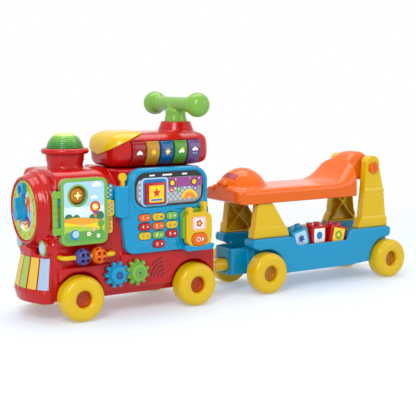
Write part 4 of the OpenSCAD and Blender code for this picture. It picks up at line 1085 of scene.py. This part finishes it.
# %% Grip
seat_tree = tree_of(bpy.data.objects["seat_moulding"].data)
seat_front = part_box("seat")[0].x
RIDGES = (-30, -10, 10, 30)
LIP, RIDGE_LONG, RIDGE_HALF = 4.0, 9.0, 6.0
POCKET_IN, POCKET_HALF = 17.0, 26


def on_seat(inward, across):
    """The point of the seat's upper side at this distance from its front, in millimetres."""
    return seat_tree.ray_cast(Vector((seat_front + inward * MM, across * MM, 0.5)), -Z)[0]


half_turn = [math.pi * (j / 16 - 0.5) for j in range(17)]
bar = [(RIDGE_HALF * math.cos(t), RIDGE_LONG * math.sin(t)) for t in half_turn]
slope = Vector((1, 0, 0.55))
for k, across in enumerate(RIDGES):
    ridge = lathe_mesh(f"grip_ridge_{k + 1}", bar, on_seat(LIP, across) - Z * MM, slope, 24)
    add_piece(f"grip_ridge_{k + 1}", ridge, ORANGE, home["seat"])
pocket_up = Vector((0.5, 0, 0.85)).normalized()
cells = [p for i in range(13) for j in range(4)
         for p in slab(4 * i - POCKET_HALF, 3.5 * j - 7, 4 * i + 4 - POCKET_HALF, 3.5 * j - 3.5)]
# A flat scarlet patch on the seat: painted shade of the pocket's recess.
film("seat_pocket_shade", on_seat(POCKET_IN, 0), -Y, pocket_up, [("pocket_shade_red", cells)], home["seat"], seat_tree, 0.4)
print("ridges:", len(RIDGES))


# %% [markdown]
# ## Light and camera
# The floor fades into a white background. There are a large soft key light, a narrow one for glints, a
# fill and a top light. The camera stands where the photograph's did.

# %% Floor
FLOOR_HALF = 9.0
FADE_FROM, FADE_TO, FADE_LEAST = 0.75, 1.7, 0.3
WHITE = (1, 1, 1, 1)
corners = [(x * FLOOR_HALF, y * FLOOR_HALF, 0) for x, y in ((-1, -1), (1, -1), (1, 1), (-1, 1))]
floor = scratch_object(mesh_from("floor", corners, [(0, 1, 2, 3)]))
floor.name = "floor"
# The floor's base colour is tinted blue, which shows only in its shade: a painted blue shade. Where it is
# lit, the floor comes out white.
floor_mat, tree, shader = new_material("floor_white_blue_shade", (0.78, 0.88, 1.0, 1), 0.6)
coords = add_node(tree, "TexCoord")
reach = add_node(tree, "VectorMath")
reach.operation = "LENGTH"
fade = add_node(tree, "MapRange", From_Min=FADE_FROM, From_Max=FADE_TO, To_Min=FADE_LEAST)
shine = add_node(tree, "Emission", Color=WHITE)
blend = add_node(tree, "MixShader")
tree.links.new(coords.outputs["Object"], reach.inputs[0])
tree.links.new(reach.outputs["Value"], fade.inputs["Value"])
tree.links.new(fade.outputs["Result"], blend.inputs["Fac"])
tree.links.new(shader.outputs["BSDF"], blend.inputs[1])
tree.links.new(shine.outputs["Emission"], blend.inputs[2])
tree.links.new(blend.outputs["Shader"], tree.nodes["Material Output"].inputs["Surface"])
floor.data.materials.append(floor_mat)
print("floor:", floor.name)


# %% Lights
def area_light(name, place, target, size, power):
    """A rectangular light at a place, aimed at a target."""
    data = bpy.data.lights.new(name, "AREA")
    data.shape = "RECTANGLE"
    data.size, data.size_y = size
    data.energy = power
    lamp = bpy.data.objects.new(name, data)
    bpy.context.scene.collection.objects.link(lamp)
    lamp.location = place
    lamp.rotation_euler = (Vector(target) - Vector(place)).to_track_quat("-Z", "Y").to_euler()


area_light("key", (-1.5, -1.5, 1.9), (0, 0, 0.2), (0.9, 0.9), 26)
area_light("glint", (-1.7, -1.2, 1.1), (-0.1, 0, 0.25), (0.14, 0.6), 7)
area_light("fill", (1.5, -1.8, 1.0), (0.1, 0, 0.2), (1.4, 1.0), 10)
area_light("top", (0.1, 0.4, 2.1), (0, 0, 0.2), (2.0, 1.2), 26)
print("lights:", len(bpy.data.lights))

# %% World
world = bpy.data.worlds.new("studio")
bpy.context.scene.world = world
world.use_nodes = True
tree = world.node_tree
tree.nodes.clear()
out = add_node(tree, "OutputWorld")
mix = add_node(tree, "MixShader")
soft = add_node(tree, "Background", Color=WHITE, Strength=0.55)
white = add_node(tree, "Background", Color=WHITE, Strength=1.0)
path = add_node(tree, "LightPath")
seen = add_node(tree, "Math")
seen_through = add_node(tree, "Math")
seen.operation = seen_through.operation = "MAXIMUM"
link = tree.links.new
link(path.outputs["Is Camera Ray"], seen.inputs[0])
link(path.outputs["Is Glossy Ray"], seen.inputs[1])
link(seen.outputs[0], seen_through.inputs[0])
link(path.outputs["Is Transmission Ray"], seen_through.inputs[1])
link(seen_through.outputs[0], mix.inputs["Fac"])
link(soft.outputs[0], mix.inputs[1])
link(white.outputs[0], mix.inputs[2])
link(mix.outputs[0], out.inputs["Surface"])
print("world nodes:", len(tree.nodes))

# %% Camera
SENSOR = 36.0
LENS = 88.84
EYE = Vector((-1.2326, -1.86405, 0.4783))
RIGHT = Vector((0.8396, -0.5432, 0.0)).normalized()
BACK = Vector((-0.5386, -0.8325, 0.13)).normalized()
camera_data = bpy.data.cameras.new("camera")
camera_data.sensor_width = SENSOR
camera_data.lens = LENS
camera = bpy.data.objects.new("camera", camera_data)
bpy.context.scene.collection.objects.link(camera)
UP = BACK.cross(RIGHT).normalized()
turn = Matrix((RIGHT, UP, BACK)).transposed().to_4x4()
camera.matrix_world = Matrix.Translation(EYE) @ turn
bpy.context.scene.camera = camera
bpy.context.scene.view_settings.view_transform = "Standard"
print("camera:", camera.name, "lens:", LENS)
